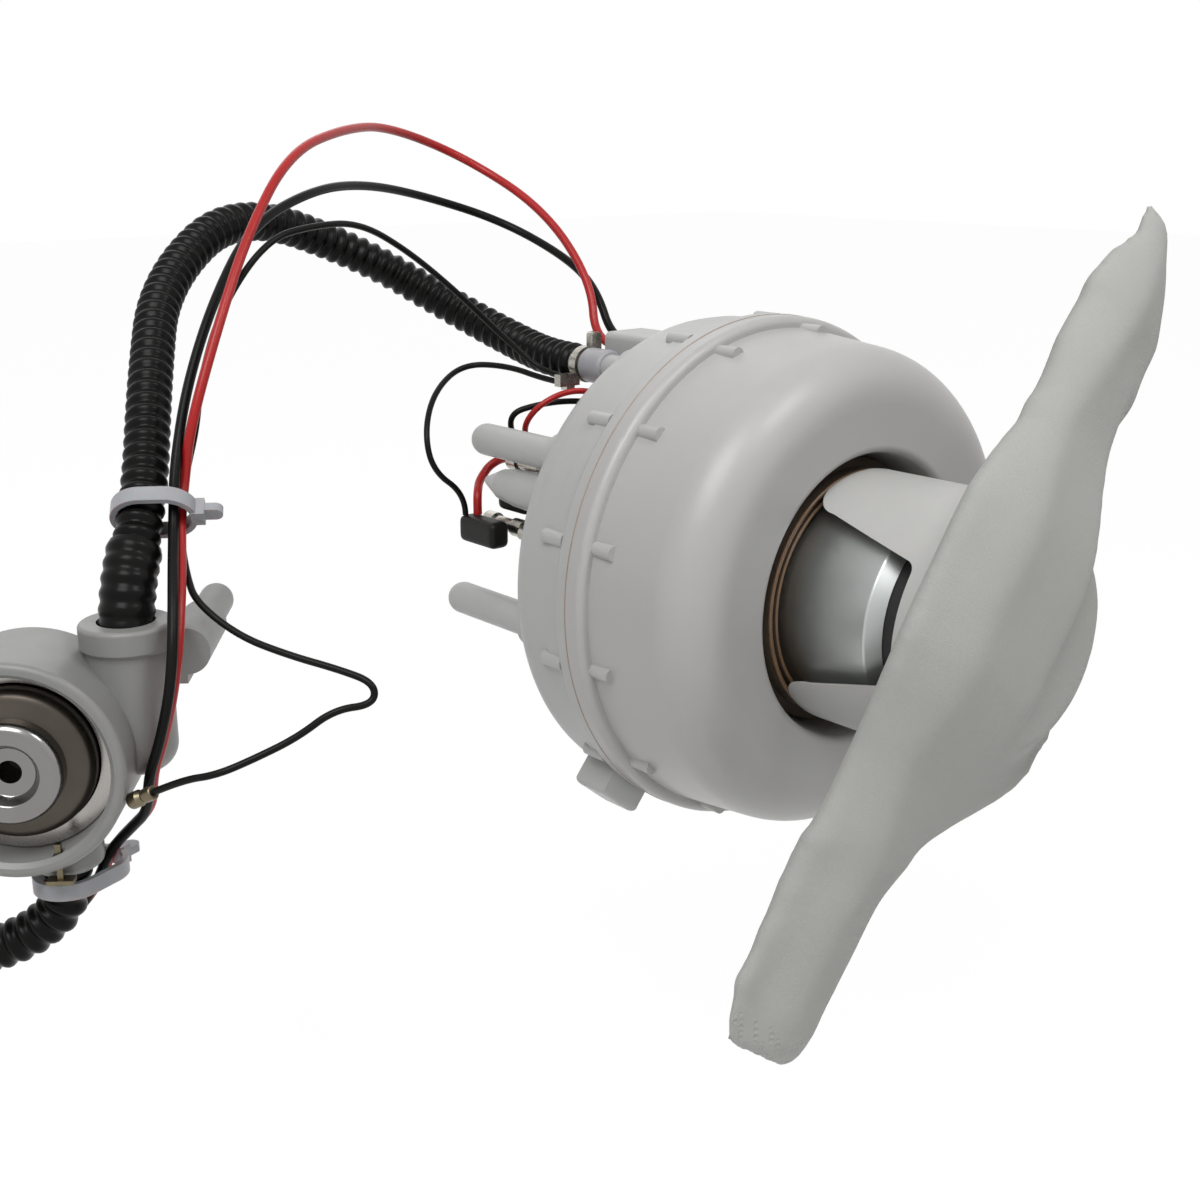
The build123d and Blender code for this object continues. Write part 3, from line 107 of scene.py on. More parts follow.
class Hand:
    """Operators used as by hand, each with nothing else selected."""

    @staticmethod
    def let_go() -> None:
        """Deselects every object."""
        if bpy.context.object and bpy.context.object.mode != "OBJECT":
            bpy.ops.object.mode_set(mode="OBJECT")
        bpy.ops.object.select_all(action="DESELECT")

    @staticmethod
    def take(piece: Piece) -> None:
        """Selects one object and makes it active.

        Args:
            piece: The object to work on.
        """
        Hand.let_go()
        piece.select_set(True)
        bpy.context.view_layer.objects.active = piece

    @staticmethod
    def name(label: str) -> Piece:
        """Names the object that was just added.

        Args:
            label: The piece's name.

        Returns:
            The active object.
        """
        piece = bpy.context.object
        piece.name = label
        piece.data.name = label
        return piece

    @staticmethod
    def place(label: str, data: bpy.types.ID) -> Piece:
        """Puts new data into the scene as an object.

        Args:
            label: The object's name.
            data: The mesh, curve, camera or lamp.

        Returns:
            The new object.
        """
        piece = bpy.data.objects.new(label, data)
        bpy.context.scene.collection.objects.link(piece)
        return piece

    @staticmethod
    def skin_of(node: str, label: str, voxel: float, rounds: int) -> Piece:
        """Copies a node of the frame as a new piece with an even, smoothed skin.

        Args:
            node: The node's name.
            label: The new piece's name.
            voxel: Size of the skin's cells, in millimetres.
            rounds: How often the skin is smoothed.

        Returns:
            The new piece, without the marks of the frame's node.
        """
        piece = frame["nodes"][node].copy()
        piece.data = piece.data.copy()
        piece.parent = None
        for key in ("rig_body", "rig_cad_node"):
            del piece[key]
        piece.name = label
        piece.data.name = label
        bpy.context.scene.collection.objects.link(piece)
        Hand.mend(piece)
        Hand.finish_with(piece, "REMESH", mode="VOXEL", voxel_size=voxel * MM)
        Hand.smooth(piece, rounds)
        return piece

    @staticmethod
    def smooth(piece: Piece, rounds: int) -> None:
        """Evens out a piece's surface in a number of rounds."""
        Hand.finish_with(piece, "SMOOTH", factor=0.5, iterations=rounds)

    @staticmethod
    def finish_with(piece: Piece, kind: str, **settings: object) -> None:
        """Adds one modifier and applies it.

        Args:
            piece: The object to change.
            kind: The modifier's type.
            **settings: Values of the modifier.
        """
        Hand.take(piece)
        step = piece.modifiers.new(kind.lower(), kind)
        for key, value in settings.items():
            setattr(step, key, value)
        bpy.ops.object.modifier_apply(modifier=step.name)

    @staticmethod
    def settle(piece: Piece, matrix: Matrix) -> None:
        """Moves a new piece and leaves its object at the origin.

        Args:
            piece: The piece to move.
            matrix: The move, after the piece's own.
        """
        Hand.let_go()
        piece.data.transform(matrix @ piece.matrix_world)
        piece.matrix_world = Matrix.Identity(4)
        piece.data.update()

    @staticmethod
    def mend(piece: Piece, gap: float = 1e-6) -> None:
        """Merges doubles and turns the faces outwards.

        Args:
            piece: The mesh to mend.
            gap: The largest distance between doubles, in metres.
        """
        Hand.take(piece)
        bpy.ops.object.mode_set(mode="EDIT")
        bpy.ops.mesh.select_all(action="SELECT")
        bpy.ops.mesh.remove_doubles(threshold=gap)
        bpy.ops.mesh.normals_make_consistent(inside=False)
        bpy.ops.object.mode_set(mode="OBJECT")

    @staticmethod
    def soften(piece: Piece, angle: float) -> None:
        """Shades a piece smooth where its faces meet below an angle in degrees."""
        Hand.take(piece)
        bpy.ops.object.shade_smooth_by_angle(angle=math.radians(angle))

    @staticmethod
    def pick_faces(piece: Piece, wanted: Callable[[Vector, Vector], bool]) -> int:
        """Enters edit mode with the faces that a test wants selected.

        Args:
            piece: The mesh to edit.
            wanted: A test of a face's centre and normal.

        Returns:
            How many faces are selected.
        """
        Hand.take(piece)
        bpy.ops.object.mode_set(mode="EDIT")
        bpy.ops.mesh.select_mode(type="FACE")
        bpy.ops.mesh.select_all(action="DESELECT")
        bpy.ops.object.mode_set(mode="OBJECT")
        count = 0
        for face in piece.data.polygons:
            face.select = wanted(face.center, face.normal)
            count += face.select
        bpy.ops.object.mode_set(mode="EDIT")
        return count


class NodeSheet:
    """A node tree that is filled from left to right."""

    COLUMN_WIDTH = 220
    FIRST_COLOUR = 6
    SECOND_COLOUR = 7
    MIXED_COLOUR = 2

    def __init__(self, tree: bpy.types.NodeTree) -> None:
        """Starts an empty sheet on a tree."""
        self.tree = tree
        self.column = 0

    @classmethod
    def blank(cls, owner: bpy.types.ID) -> "NodeSheet":
        """Starts a sheet on the emptied nodes of a material or a world.

        Args:
            owner: What the nodes belong to.

        Returns:
            The new sheet.
        """
        owner.use_nodes = True
        owner.node_tree.nodes.clear()
        return cls(owner.node_tree)

    def add(self, kind: str, inputs: Optional[dict[Union[str, int], Fed]] = None,
            **values: object) -> bpy.types.Node:
        """Adds a node with its properties and its inputs.

        Args:
            kind: The node's type name.
            inputs: Sockets to link and values to set, by the input's name or number.
            **values: Properties of the node.

        Returns:
            The new node.
        """
        node = self.tree.nodes.new(kind)
        node.location = (self.column, 0)
        self.column += self.COLUMN_WIDTH
        for key, value in values.items():
            setattr(node, key, value)
        for key, value in (inputs or {}).items():
            if isinstance(value, Socket):
                self.tree.links.new(value, node.inputs[key])
            else:
                node.inputs[key].default_value = value
        return node

    def noise(self, vector: Socket, scale: Fed, detail: float) -> Socket:
        """Reads a noise texture of a scale and a detail at a vector."""
        node = self.add("ShaderNodeTexNoise",
                        {"Vector": vector, "Scale": scale, "Detail": detail})
        return node.outputs["Fac"]

    def spread(self, value: Socket, low: float, high: float, to_low: float = 0.0,
               to_high: float = 1.0) -> Socket:
        """Maps a value from one range, low to high, to another."""
        node = self.add("ShaderNodeMapRange", {"Value": value, "From Min": low, "From Max": high,
                                               "To Min": to_low, "To Max": to_high})
        return node.outputs["Result"]

    def reckon(self, operation: str, first: Socket, second: Fed) -> Socket:
        """Works out one operation on two values."""
        return self.add("ShaderNodeMath", {0: first, 1: second}, operation=operation).outputs[0]

    def blend(self, share: Socket, first: Fed, second: Fed) -> Socket:
        """Mixes a share of the second colour into the first."""
        node = self.add("ShaderNodeMix", {
            "Factor": share, self.FIRST_COLOUR: first, self.SECOND_COLOUR: second},
            data_type="RGBA")
        return node.outputs[self.MIXED_COLOUR]


class Effects:
    """Node groups of the finishes, each built once."""

    SURFACE_INPUTS = {"Vector": "Vector", "Scale": "Float"}
    SURFACE_OUTPUTS = {"Height": "Float"}
    CLOUD_DETAIL = 5.0
    CLOUD_EDGE = (0.38, 0.62)
    GRAIN_DETAIL = 2.0
    WAVE_SCALE = 70.0
    WAVE_DETAIL = 1.0
    WAVE_SHARE = 0.8
    DUST_COLOUR = (0.62, 0.60, 0.56, 1.0)
    DUST_UPWARD = (0.2, 1.0)
    DUST_SCALE = 260.0
    DUST_DETAIL = 6.0
    DUST_EDGE = (0.45, 0.75)
    STRAND_LAYS = ((0.5, 2.2), (2.1, 2.0), (-0.9, 2.4))
    STRAND_LEAN = 0.3
    STRAND_TWIST = 0.2
    STRAND_DETAIL = 3.0
    STRAND_EDGE = (0.4, 0.65)
    STRAND_SHADE = (0.6, 2.2)
    LINE_STRETCH = (1.0, 14.0, 1.0)
    LINE_DETAIL = 4.0
    DOT_DISORDER = 0.12
    DOT_EDGE = (0.18, 0.42)

    def __init__(self) -> None:
        """Builds every group."""
        self.mottle = self._mottle()
        self.dust = self._dust()
        self.surfaces = {Pattern.MOULDED: self._grain(), Pattern.FIBRE: self._fibre(),
                         Pattern.BRUSHED: self._brushing(), Pattern.WELDED: self._weld()}

    @staticmethod
    def _open(name: str, inputs: dict[str, str], outputs: dict[str, str]
              ) -> tuple[NodeSheet, bpy.types.NodeOutputs]:
        """Starts a group with its sockets.

        Args:
            name: The group's name.
            inputs: Names and kinds of what goes in.
            outputs: Names and kinds of what comes out.

        Returns:
            The sheet and the sockets of what goes in.
        """
        tree = bpy.data.node_groups.new(name, "ShaderNodeTree")
        for side, sockets in (("INPUT", inputs), ("OUTPUT", outputs)):
            for label, kind in sockets.items():
                tree.interface.new_socket(name=label, in_out=side,
                                          socket_type="NodeSocket" + kind)
        sheet = NodeSheet(tree)
        return sheet, sheet.add("NodeGroupInput").outputs

    def _mottle(self) -> bpy.types.NodeTree:
        """Cloudy change from one colour to another.

        Returns:
            The group.
        """
        sheet, entry = self._open("mottle", {
            "Vector": "Vector", "Base": "Color", "Tint": "Color", "Scale": "Float",
            "Amount": "Float"}, {"Color": "Color"})
        clouds = sheet.noise(entry["Vector"], entry["Scale"], self.CLOUD_DETAIL)
        share = sheet.reckon("MULTIPLY", sheet.spread(clouds, *self.CLOUD_EDGE),
                             entry["Amount"])
        sheet.add("NodeGroupOutput", {"Color": sheet.blend(share, entry["Base"], entry["Tint"])})
        return sheet.tree

    def _grain(self) -> bpy.types.NodeTree:
        """Fine pits of a moulded skin over a slow waviness.

        Returns:
            The group.
        """
        sheet, entry = self._open("grain", self.SURFACE_INPUTS, self.SURFACE_OUTPUTS)
        fine = sheet.noise(entry["Vector"], entry["Scale"], self.GRAIN_DETAIL)
        slow = sheet.noise(entry["Vector"], self.WAVE_SCALE, self.WAVE_DETAIL)
        wave = sheet.reckon("MULTIPLY", slow, self.WAVE_SHARE)
        sheet.add("NodeGroupOutput", {"Height": sheet.reckon("ADD", fine, wave)})
        return sheet.tree

    def _dust(self) -> bpy.types.NodeTree:
        """Pale dust that settles on what faces up.

        Returns:
            The group.
        """
        sheet, entry = self._open("dust", {"Vector": "Vector", "Base": "Color",
                                           "Amount": "Float"}, {"Color": "Color"})
        normal = sheet.add("ShaderNodeNewGeometry").outputs["Normal"]
        parts = sheet.add("ShaderNodeSeparateXYZ", {0: normal})
        upward = sheet.spread(parts.outputs["Z"], *self.DUST_UPWARD)
        specks = sheet.noise(entry["Vector"], self.DUST_SCALE, self.DUST_DETAIL)
        share = sheet.reckon("MULTIPLY", upward, sheet.spread(specks, *self.DUST_EDGE))
        share = sheet.reckon("MULTIPLY", share, entry["Amount"])
        sheet.add("NodeGroupOutput",
                  {"Color": sheet.blend(share, entry["Base"], self.DUST_COLOUR)})
        return sheet.tree

    def _fibre(self) -> bpy.types.NodeTree:
        """Needled fibres that lie across each other.

        Returns:
            The group.
        """
        sheet, entry = self._open("fibre", self.SURFACE_INPUTS,
                                  {"Height": "Float", "Shade": "Float"})
        heights = []
        for turn, stretch in self.STRAND_LAYS:
            lay = sheet.add("ShaderNodeMapping", {
                "Vector": entry["Vector"], "Scale": (1.0, 1.0, stretch),
                "Rotation": (self.STRAND_LEAN * turn, turn, self.STRAND_TWIST)})
            strand = sheet.noise(lay.outputs["Vector"], entry["Scale"], self.STRAND_DETAIL)
            heights.append(sheet.spread(strand, *self.STRAND_EDGE))
        total = heights[0]
        for height in heights[1:]:
            total = sheet.reckon("ADD", total, height)
        # Shade sets the painted shade between fibres and also breaks up the gloss.
        shade = sheet.spread(total, *self.STRAND_SHADE)
        sheet.add("NodeGroupOutput", {"Height": total, "Shade": shade})
        return sheet.tree

    def _brushing(self) -> bpy.types.NodeTree:
        """Fine lines along a metal's rolling direction.

        Returns:
            The group.
        """
        sheet, entry = self._open("brushing", self.SURFACE_INPUTS, self.SURFACE_OUTPUTS)
        lay = sheet.add("ShaderNodeMapping",
                        {"Vector": entry["Vector"], "Scale": self.LINE_STRETCH})
        lines = sheet.noise(lay.outputs["Vector"], entry["Scale"], self.LINE_DETAIL)
        sheet.add("NodeGroupOutput", {"Height": lines})
        return sheet.tree

    def _weld(self) -> bpy.types.NodeTree:
        """Rows of small dots that a welding tool presses into felt.

        Returns:
            The group.
        """
        sheet, entry = self._open("weld", self.SURFACE_INPUTS, self.SURFACE_OUTPUTS)
        dots = sheet.add("ShaderNodeTexVoronoi", {
            "Vector": entry["Vector"], "Scale": entry["Scale"],
            "Randomness": self.DOT_DISORDER})
        pressed = sheet.spread(dots.outputs["Distance"], *self.DOT_EDGE)
        sheet.add("NodeGroupOutput", {"Height": pressed})
        return sheet.tree


@dataclass(frozen=True)
class Finish:
    """One finish: its colours, gloss and surface, and the record's slot it stands for."""

    name: str
    slot: str
    colour: Colour
    tint: Colour
    roughness: float
    pattern: Pattern = Pattern.MOULDED
    tint_scale: float = 60.0
    tint_amount: float = 0.5
    rough_spread: float = 0.05
    metallic: float = 0.0
    grain_scale: float = 2600.0
    grain_depth: float = 0.03
    specular: float = 0.5
    sheen: float = 0.0
    subsurface: float = 0.0
    dust: float = 0.0
    gloss_edge: Pair = (0.3, 0.7)
    least_roughness: float = 0.02
    sheen_roughness: float = 0.6
    light_depth: float = 2.0
    # Painted shade between fibres: how dark the felt is where its fibres lie low.
    painted_fibre_shade: float = 0.93

    def material(self, effects: Effects) -> bpy.types.Material:
        """Builds the finish's material.

        Args:
            effects: The shared node groups.

        Returns:
            The new material.
        """
        made = bpy.data.materials.new(self.name)
        made.diffuse_color = (*self.colour, 1.0)
        sheet = NodeSheet.blank(made)
        place = sheet.add("ShaderNodeTexCoord").outputs["Object"]
        surface = sheet.add("ShaderNodeGroup", {"Scale": self.grain_scale, "Vector": place},
                            node_tree=effects.surfaces[self.pattern]).outputs
        broken = surface["Shade"] if self.pattern is Pattern.FIBRE else surface["Height"]
        rough = sheet.spread(broken, *self.gloss_edge,
                             max(self.roughness - self.rough_spread, self.least_roughness),
                             min(self.roughness + self.rough_spread, 1.0))
        bump = sheet.add("ShaderNodeBump", {
            "Distance": self.grain_depth * MM, "Height": surface["Height"]})
        shader = sheet.add("ShaderNodeBsdfPrincipled", {
            "Base Color": self._colour(sheet, effects, place, broken), "Roughness": rough,
            "Normal": bump.outputs["Normal"], "Metallic": self.metallic,
            "Specular IOR Level": self.specular, "Sheen Weight": self.sheen,
            "Sheen Roughness": self.sheen_roughness, "Subsurface Weight": self.subsurface,
            "Subsurface Scale": self.light_depth * MM})
        sheet.add("ShaderNodeOutputMaterial", {"Surface": shader.outputs["BSDF"]})
        return made

    def _colour(self, sheet: NodeSheet, effects: Effects, place: Socket, broken: Socket
                ) -> Socket:
        """Mottled base colour with dust on it, and painted shade between fibres.

        Args:
            sheet: The material's sheet.
            effects: The shared node groups.
            place: Object coordinates.
            broken: What breaks up the gloss; on felt, how far up its fibres a place is, which also
                sets the painted shade between them.

        Returns:
            The colour's socket.
        """
        mottle = sheet.add("ShaderNodeGroup", {
            "Base": (*self.colour, 1.0), "Tint": (*self.tint, 1.0), "Scale": self.tint_scale,
            "Amount": self.tint_amount, "Vector": place}, node_tree=effects.mottle)
        dust = sheet.add("ShaderNodeGroup", {
            "Base": mottle.outputs["Color"], "Amount": self.dust, "Vector": place},
            node_tree=effects.dust)
        if self.pattern is not Pattern.FIBRE:
            return dust.outputs["Color"]
        # Painted shade: the colour darkens where the fibres lie low between others.
        dark = tuple(self.painted_fibre_shade * part for part in self.colour)
        return sheet.blend(broken, (*dark, 1.0), dust.outputs["Color"])


METAL = partial(Finish, pattern=Pattern.BRUSHED, metallic=1.0)

FINISHES = (
    Finish("cap_plastic", "shell_plastic", (0.43, 0.43, 0.425), (0.38, 0.38, 0.375), 0.34,
           tint_scale=18.0, grain_depth=0.015, dust=0.1),
    Finish("bowl_plastic", "shell_plastic", (0.43, 0.425, 0.415), (0.385, 0.375, 0.365), 0.32,
           tint_scale=16.0, grain_depth=0.015, dust=0.08),
    Finish("milky_plastic", "white_plastic", (0.47, 0.47, 0.455), (0.42, 0.42, 0.405), 0.36,
           tint_scale=30.0, grain_depth=0.012, subsurface=0.1, dust=0.05),
    # Painted shade: the milky plastic darkened for the regulator housing, which lies in shadow.
    Finish("regulator_painted_shade_plastic", "white_plastic", (0.25, 0.25, 0.242), (0.205, 0.205, 0.198), 0.36,
           tint_scale=26.0, grain_depth=0.012, subsurface=0.1, dust=0.05),
    Finish("dark_moulding", "dark_plastic", (0.020, 0.020, 0.021), (0.03, 0.03, 0.029), 0.42,
           specular=0.25),
    Finish("hose_black", "hose_plastic", (0.0035, 0.0032, 0.003), (0.007, 0.0065, 0.006), 0.24,
           tint_scale=220.0, grain_depth=0.010, specular=0.11),
    METAL("pump_steel", "steel_can", (0.48, 0.50, 0.49), (0.40, 0.41, 0.41), 0.38, tint_scale=28.0,
          grain_scale=900.0, grain_depth=0.002),
    METAL("plated_steel", "regulator_steel", (0.10, 0.086, 0.073), (0.065, 0.056, 0.048), 0.40,
          tint_scale=45.0, grain_scale=900.0, grain_depth=0.002),
    METAL("bright_plate", "bright_steel", (0.24, 0.235, 0.23), (0.17, 0.165, 0.16), 0.20,
          tint_amount=0.3, grain_scale=900.0, grain_depth=0.001),
    METAL("spring_wire", "spring_steel", (0.42, 0.40, 0.38), (0.32, 0.30, 0.28), 0.24,
          grain_scale=1500.0, grain_depth=0.002),
    METAL("stacked_steel", "laminated_steel", (0.20, 0.20, 0.21), (0.12, 0.12, 0.13), 0.5,
          grain_scale=2200.0),
    Finish("copper_wire", "copper", (0.60, 0.27, 0.13), (0.48, 0.19, 0.09), 0.32, metallic=1.0,
           grain_scale=1800.0),
    METAL("brass", "brass_metal", (0.50, 0.40, 0.22), (0.36, 0.29, 0.17), 0.32, grain_scale=1200.0,
          grain_depth=0.004),
    METAL("aged_brass", "brass_metal", (0.20, 0.17, 0.11), (0.13, 0.11, 0.075), 0.34,
          tint_scale=400.0, grain_scale=1200.0, grain_depth=0.004),
    METAL("tinned", "tin", (0.52, 0.50, 0.46), (0.30, 0.28, 0.24), 0.28, tint_scale=300.0,
          tint_amount=0.8, grain_scale=1600.0, grain_depth=0.006),
    Finish("magnet_grey", "magnet", (0.045, 0.045, 0.05), (0.07, 0.07, 0.075), 0.6),
    Finish("carbon_black", "carbon", (0.02, 0.02, 0.021), (0.04, 0.04, 0.041), 0.5),
    Finish("rubber", "rubber_black", (0.008, 0.0075, 0.007), (0.014, 0.013, 0.012), 0.42,
           tint_scale=180.0, grain_depth=0.02, specular=0.2),
    Finish("amber_isolator", "rubber_black", (0.085, 0.066, 0.052), (0.12, 0.085, 0.058), 0.22,
           tint_amount=0.7, grain_depth=0.01, specular=0.4),
    Finish("filter_paper", "paper", (0.50, 0.42, 0.28), (0.42, 0.34, 0.21), 0.85,
           grain_scale=3500.0, grain_depth=0.05),
    Finish("needled_felt", "felt", (0.425, 0.43, 0.405), (0.40, 0.405, 0.38), 0.88,
           pattern=Pattern.FIBRE, tint_scale=30.0, grain_scale=2200.0, grain_depth=0.02,
           specular=0.2, sheen=0.1),
    Finish("welded_felt", "felt", (0.41, 0.415, 0.39), (0.37, 0.375, 0.35), 0.7,
           pattern=Pattern.WELDED, tint_scale=30.0, grain_scale=760.0, grain_depth=0.16,
           specular=0.3, sheen=0.1),
    Finish("red_sleeve", "red_insulation", (0.40, 0.010, 0.009), (0.32, 0.007, 0.006), 0.30,
           tint_scale=90.0, grain_depth=0.006, specular=0.35),
    Finish("black_sleeve", "black_insulation", (0.004, 0.0038, 0.0035), (0.008, 0.0075, 0.007),
           0.30, tint_scale=90.0, grain_depth=0.006, specular=0.12),
    Finish("tie_nylon", "tie_plastic", (0.36, 0.365, 0.385), (0.30, 0.305, 0.325), 0.34,
           tint_scale=120.0, grain_depth=0.008, subsurface=0.3),
    Finish("valve_moulding", "valve_plastic", (0.30, 0.26, 0.20), (0.25, 0.21, 0.16), 0.45),
    # A thin brownish line laid in the flange's groove, where cap and bowl meet.
    Finish("weld_line", "shell_plastic", (0.30, 0.235, 0.19), (0.38, 0.32, 0.27), 0.5,
           tint_amount=0.8),
    Finish("amber_ring", "rubber_black", (0.25, 0.145, 0.075), (0.17, 0.10, 0.055), 0.24,
           tint_scale=90.0, tint_amount=0.8, grain_depth=0.006),
)


class Paintbox:
    """All finishes, each made once and given to pieces by name."""

    def __init__(self) -> None:
        """Builds the shared groups and every material."""
        effects = Effects()
        self.finishes = {finish.name: finish for finish in FINISHES}
        self.materials = {finish.name: finish.material(effects) for finish in FINISHES}
        self.by_slot: dict[str, str] = {}
        for finish in FINISHES:
            self.by_slot.setdefault(finish.slot, finish.name)

    def coat(self, piece: Piece, finish: str) -> None:
        """Gives a new piece its finish.

        Args:
            piece: The piece to finish.
            finish: The finish's name.
        """
        piece.data.materials.clear()
        piece.data.materials.append(self.materials[finish])

    def coat_frame(self, special: dict[str, str]) -> None:
        """Gives every node the finish of its slot, or a finish of its own.

        Args:
            special: Finishes of single nodes.
        """
        for node, piece in frame["nodes"].items():
            held = piece.data.materials[0].name.split(".")[0] if piece.data.materials else ""
            finish = special.get(node, self.by_slot.get(held, "dark_moulding"))
            for slot in piece.material_slots:
                slot.link = "OBJECT"
                slot.material = self.materials[finish]


@dataclass
class Studio:
    """Camera, floor, world and lamps."""

    camera_spot: Point = (-0.2376, -0.2482, 0.08845)
    looking_along: Point = (0.62446927, 0.72863037, -0.28131106)
    lens: float = 48.0
    sensor: float = 36.0
    near_clip: float = 0.01
    floor_height: float = -0.125
    floor_side: float = 6.0
    white: float = 1.0
    floor_white: float = 0.93
    floor_glow: float = 1.035
    floor_colour: Colour = (0.92, 0.92, 0.92)
    soft_light: float = 0.30
    lamps: tuple[tuple[str, Point, float, float], ...] = (
        ("key_lamp", (-0.50, -0.30, 0.70), 0.45, 4.7),
        ("near_lamp", (0.03, -0.25, 0.34), 0.12, 0.42),
        ("fill_lamp", (0.30, -0.75, 0.30), 0.60, 0.15),
        ("back_lamp", (0.25, 0.75, 0.55), 0.60, 0.8),
    )
    centre: Point = (-0.05, -0.02, 0.0)

    def build(self) -> None:
        """Makes the camera first, then the floor, the world and the lamps."""
        self._camera()
        self._world()
        self._floor()
        for name, spot, side, power in self.lamps:
            self._lamp(name, spot, side, power)
        bpy.context.scene.view_settings.view_transform = "Standard"
        LOG.info("studio: camera, floor, world and %d lamps", len(self.lamps))

    def _camera(self) -> None:
        """Stands the camera where the photograph was taken from."""
        data = bpy.data.cameras.new("camera")
        data.lens = self.lens
        data.sensor_width = self.sensor
        data.clip_start = self.near_clip
        camera = Hand.place("camera", data)
        camera.location = self.camera_spot
        camera.rotation_euler = Vector(self.looking_along).to_track_quat("-Z", "Y").to_euler()
        bpy.context.scene.camera = camera

    @staticmethod
    def _seen(sheet: NodeSheet) -> Socket:
        """Mask of the rays that show the backdrop straight, mirrored or through glass.

        Args:
            sheet: The tree's sheet.

        Returns:
            The mask's socket.
        """
        path = sheet.add("ShaderNodeLightPath").outputs
        total = path["Is Camera Ray"]
        for label in ("Is Glossy Ray", "Is Transmission Ray"):
            total = sheet.reckon("MAXIMUM", total, path[label])
        return total

    def _world(self) -> None:
        """White to look at, softer as a light."""
        world = bpy.data.worlds.new("studio_world")
        bpy.context.scene.world = world
        sheet = NodeSheet.blank(world)
        strength = sheet.spread(self._seen(sheet), 0.0, 1.0, self.soft_light, self.white)
        back = sheet.add("ShaderNodeBackground",
                         {"Strength": strength, "Color": (1.0, 1.0, 1.0, 1.0)})
        sheet.add("ShaderNodeOutputWorld", {"Surface": back.outputs[0]})

    def _floor(self) -> None:
        """White floor that keeps the object's shadow."""
        Hand.let_go()
        bpy.ops.mesh.primitive_plane_add(size=self.floor_side,
                                         location=(0.0, 0.0, self.floor_height))
        floor = Hand.name("floor")
        made = bpy.data.materials.new("floor_white")
        sheet = NodeSheet.blank(made)
        seen = sheet.reckon("MULTIPLY", self._seen(sheet), self.floor_white)
        dull = sheet.add("ShaderNodeBsdfDiffuse", {"Color": (*self.floor_colour, 1.0)})
        glow = sheet.add("ShaderNodeEmission", {"Strength": self.floor_glow})
        mix = sheet.add("ShaderNodeMixShader", {0: seen, 1: dull.outputs[0], 2: glow.outputs[0]})
        sheet.add("ShaderNodeOutputMaterial", {"Surface": mix.outputs[0]})
        floor.data.materials.append(made)

    def _lamp(self, name: str, spot: Point, side: float, power: float) -> None:
        """Hangs one square lamp that faces the middle of the object.

        Args:
            name: The lamp's name.
            spot: Where it hangs.
            side: Its side in metres.
            power: Its power in watts.
        """
        data = bpy.data.lights.new(name, "AREA")
        data.size = side
        data.energy = power
        lamp = Hand.place(name, data)
        lamp.location = spot
        aim = Vector(self.centre) - Vector(spot)
        lamp.rotation_euler = aim.to_track_quat("-Z", "Y").to_euler()


@dataclass
class Route:
    """A cord's line: a NURBS spline led by its points, in millimetres."""

    points: tuple[Point, ...]
    steps: int = 24
    order: int = 3
    bevel_steps: int = 5

    def curve(self, name: str, radius: float = 0.0) -> Piece:
        """Lays the route as a curve.

        Args:
            name: The object's name.
            radius: Half the cord's thickness in millimetres, or 0 for a bare line.

        Returns:
            The curve object.
        """
        data = bpy.data.curves.new(name, "CURVE")
        data.dimensions = "3D"
        data.resolution_u = self.steps
        data.render_resolution_u = self.steps
        data.bevel_depth = radius * MM
        data.bevel_resolution = self.bevel_steps
        data.use_fill_caps = radius > 0
        spline = data.splines.new("NURBS")
        spline.points.add(len(self.points) - 1)
        for knot, spot in zip(spline.points, self.points):
            knot.co = (*(MM * value for value in spot), 1.0)
        spline.order_u = self.order
        spline.use_endpoint_u = True
        return Hand.place(name, data)

    def line(self) -> Array:
        """Reads points from the route's own spline.

        Returns:
            The points, in metres.
        """
        bare = self.curve("bare_line")
        bpy.context.view_layer.update()
        mesh = bpy.data.meshes.new_from_object(bare)
        spots = np.array([vertex.co for vertex in mesh.vertices], float)
        bpy.data.objects.remove(bare)
        bpy.data.meshes.remove(mesh)
        return spots

    @property
    def start(self) -> Point:
        """Where the cord leaves what it comes from, in metres."""
        return tuple(MM * value for value in self.points[0])


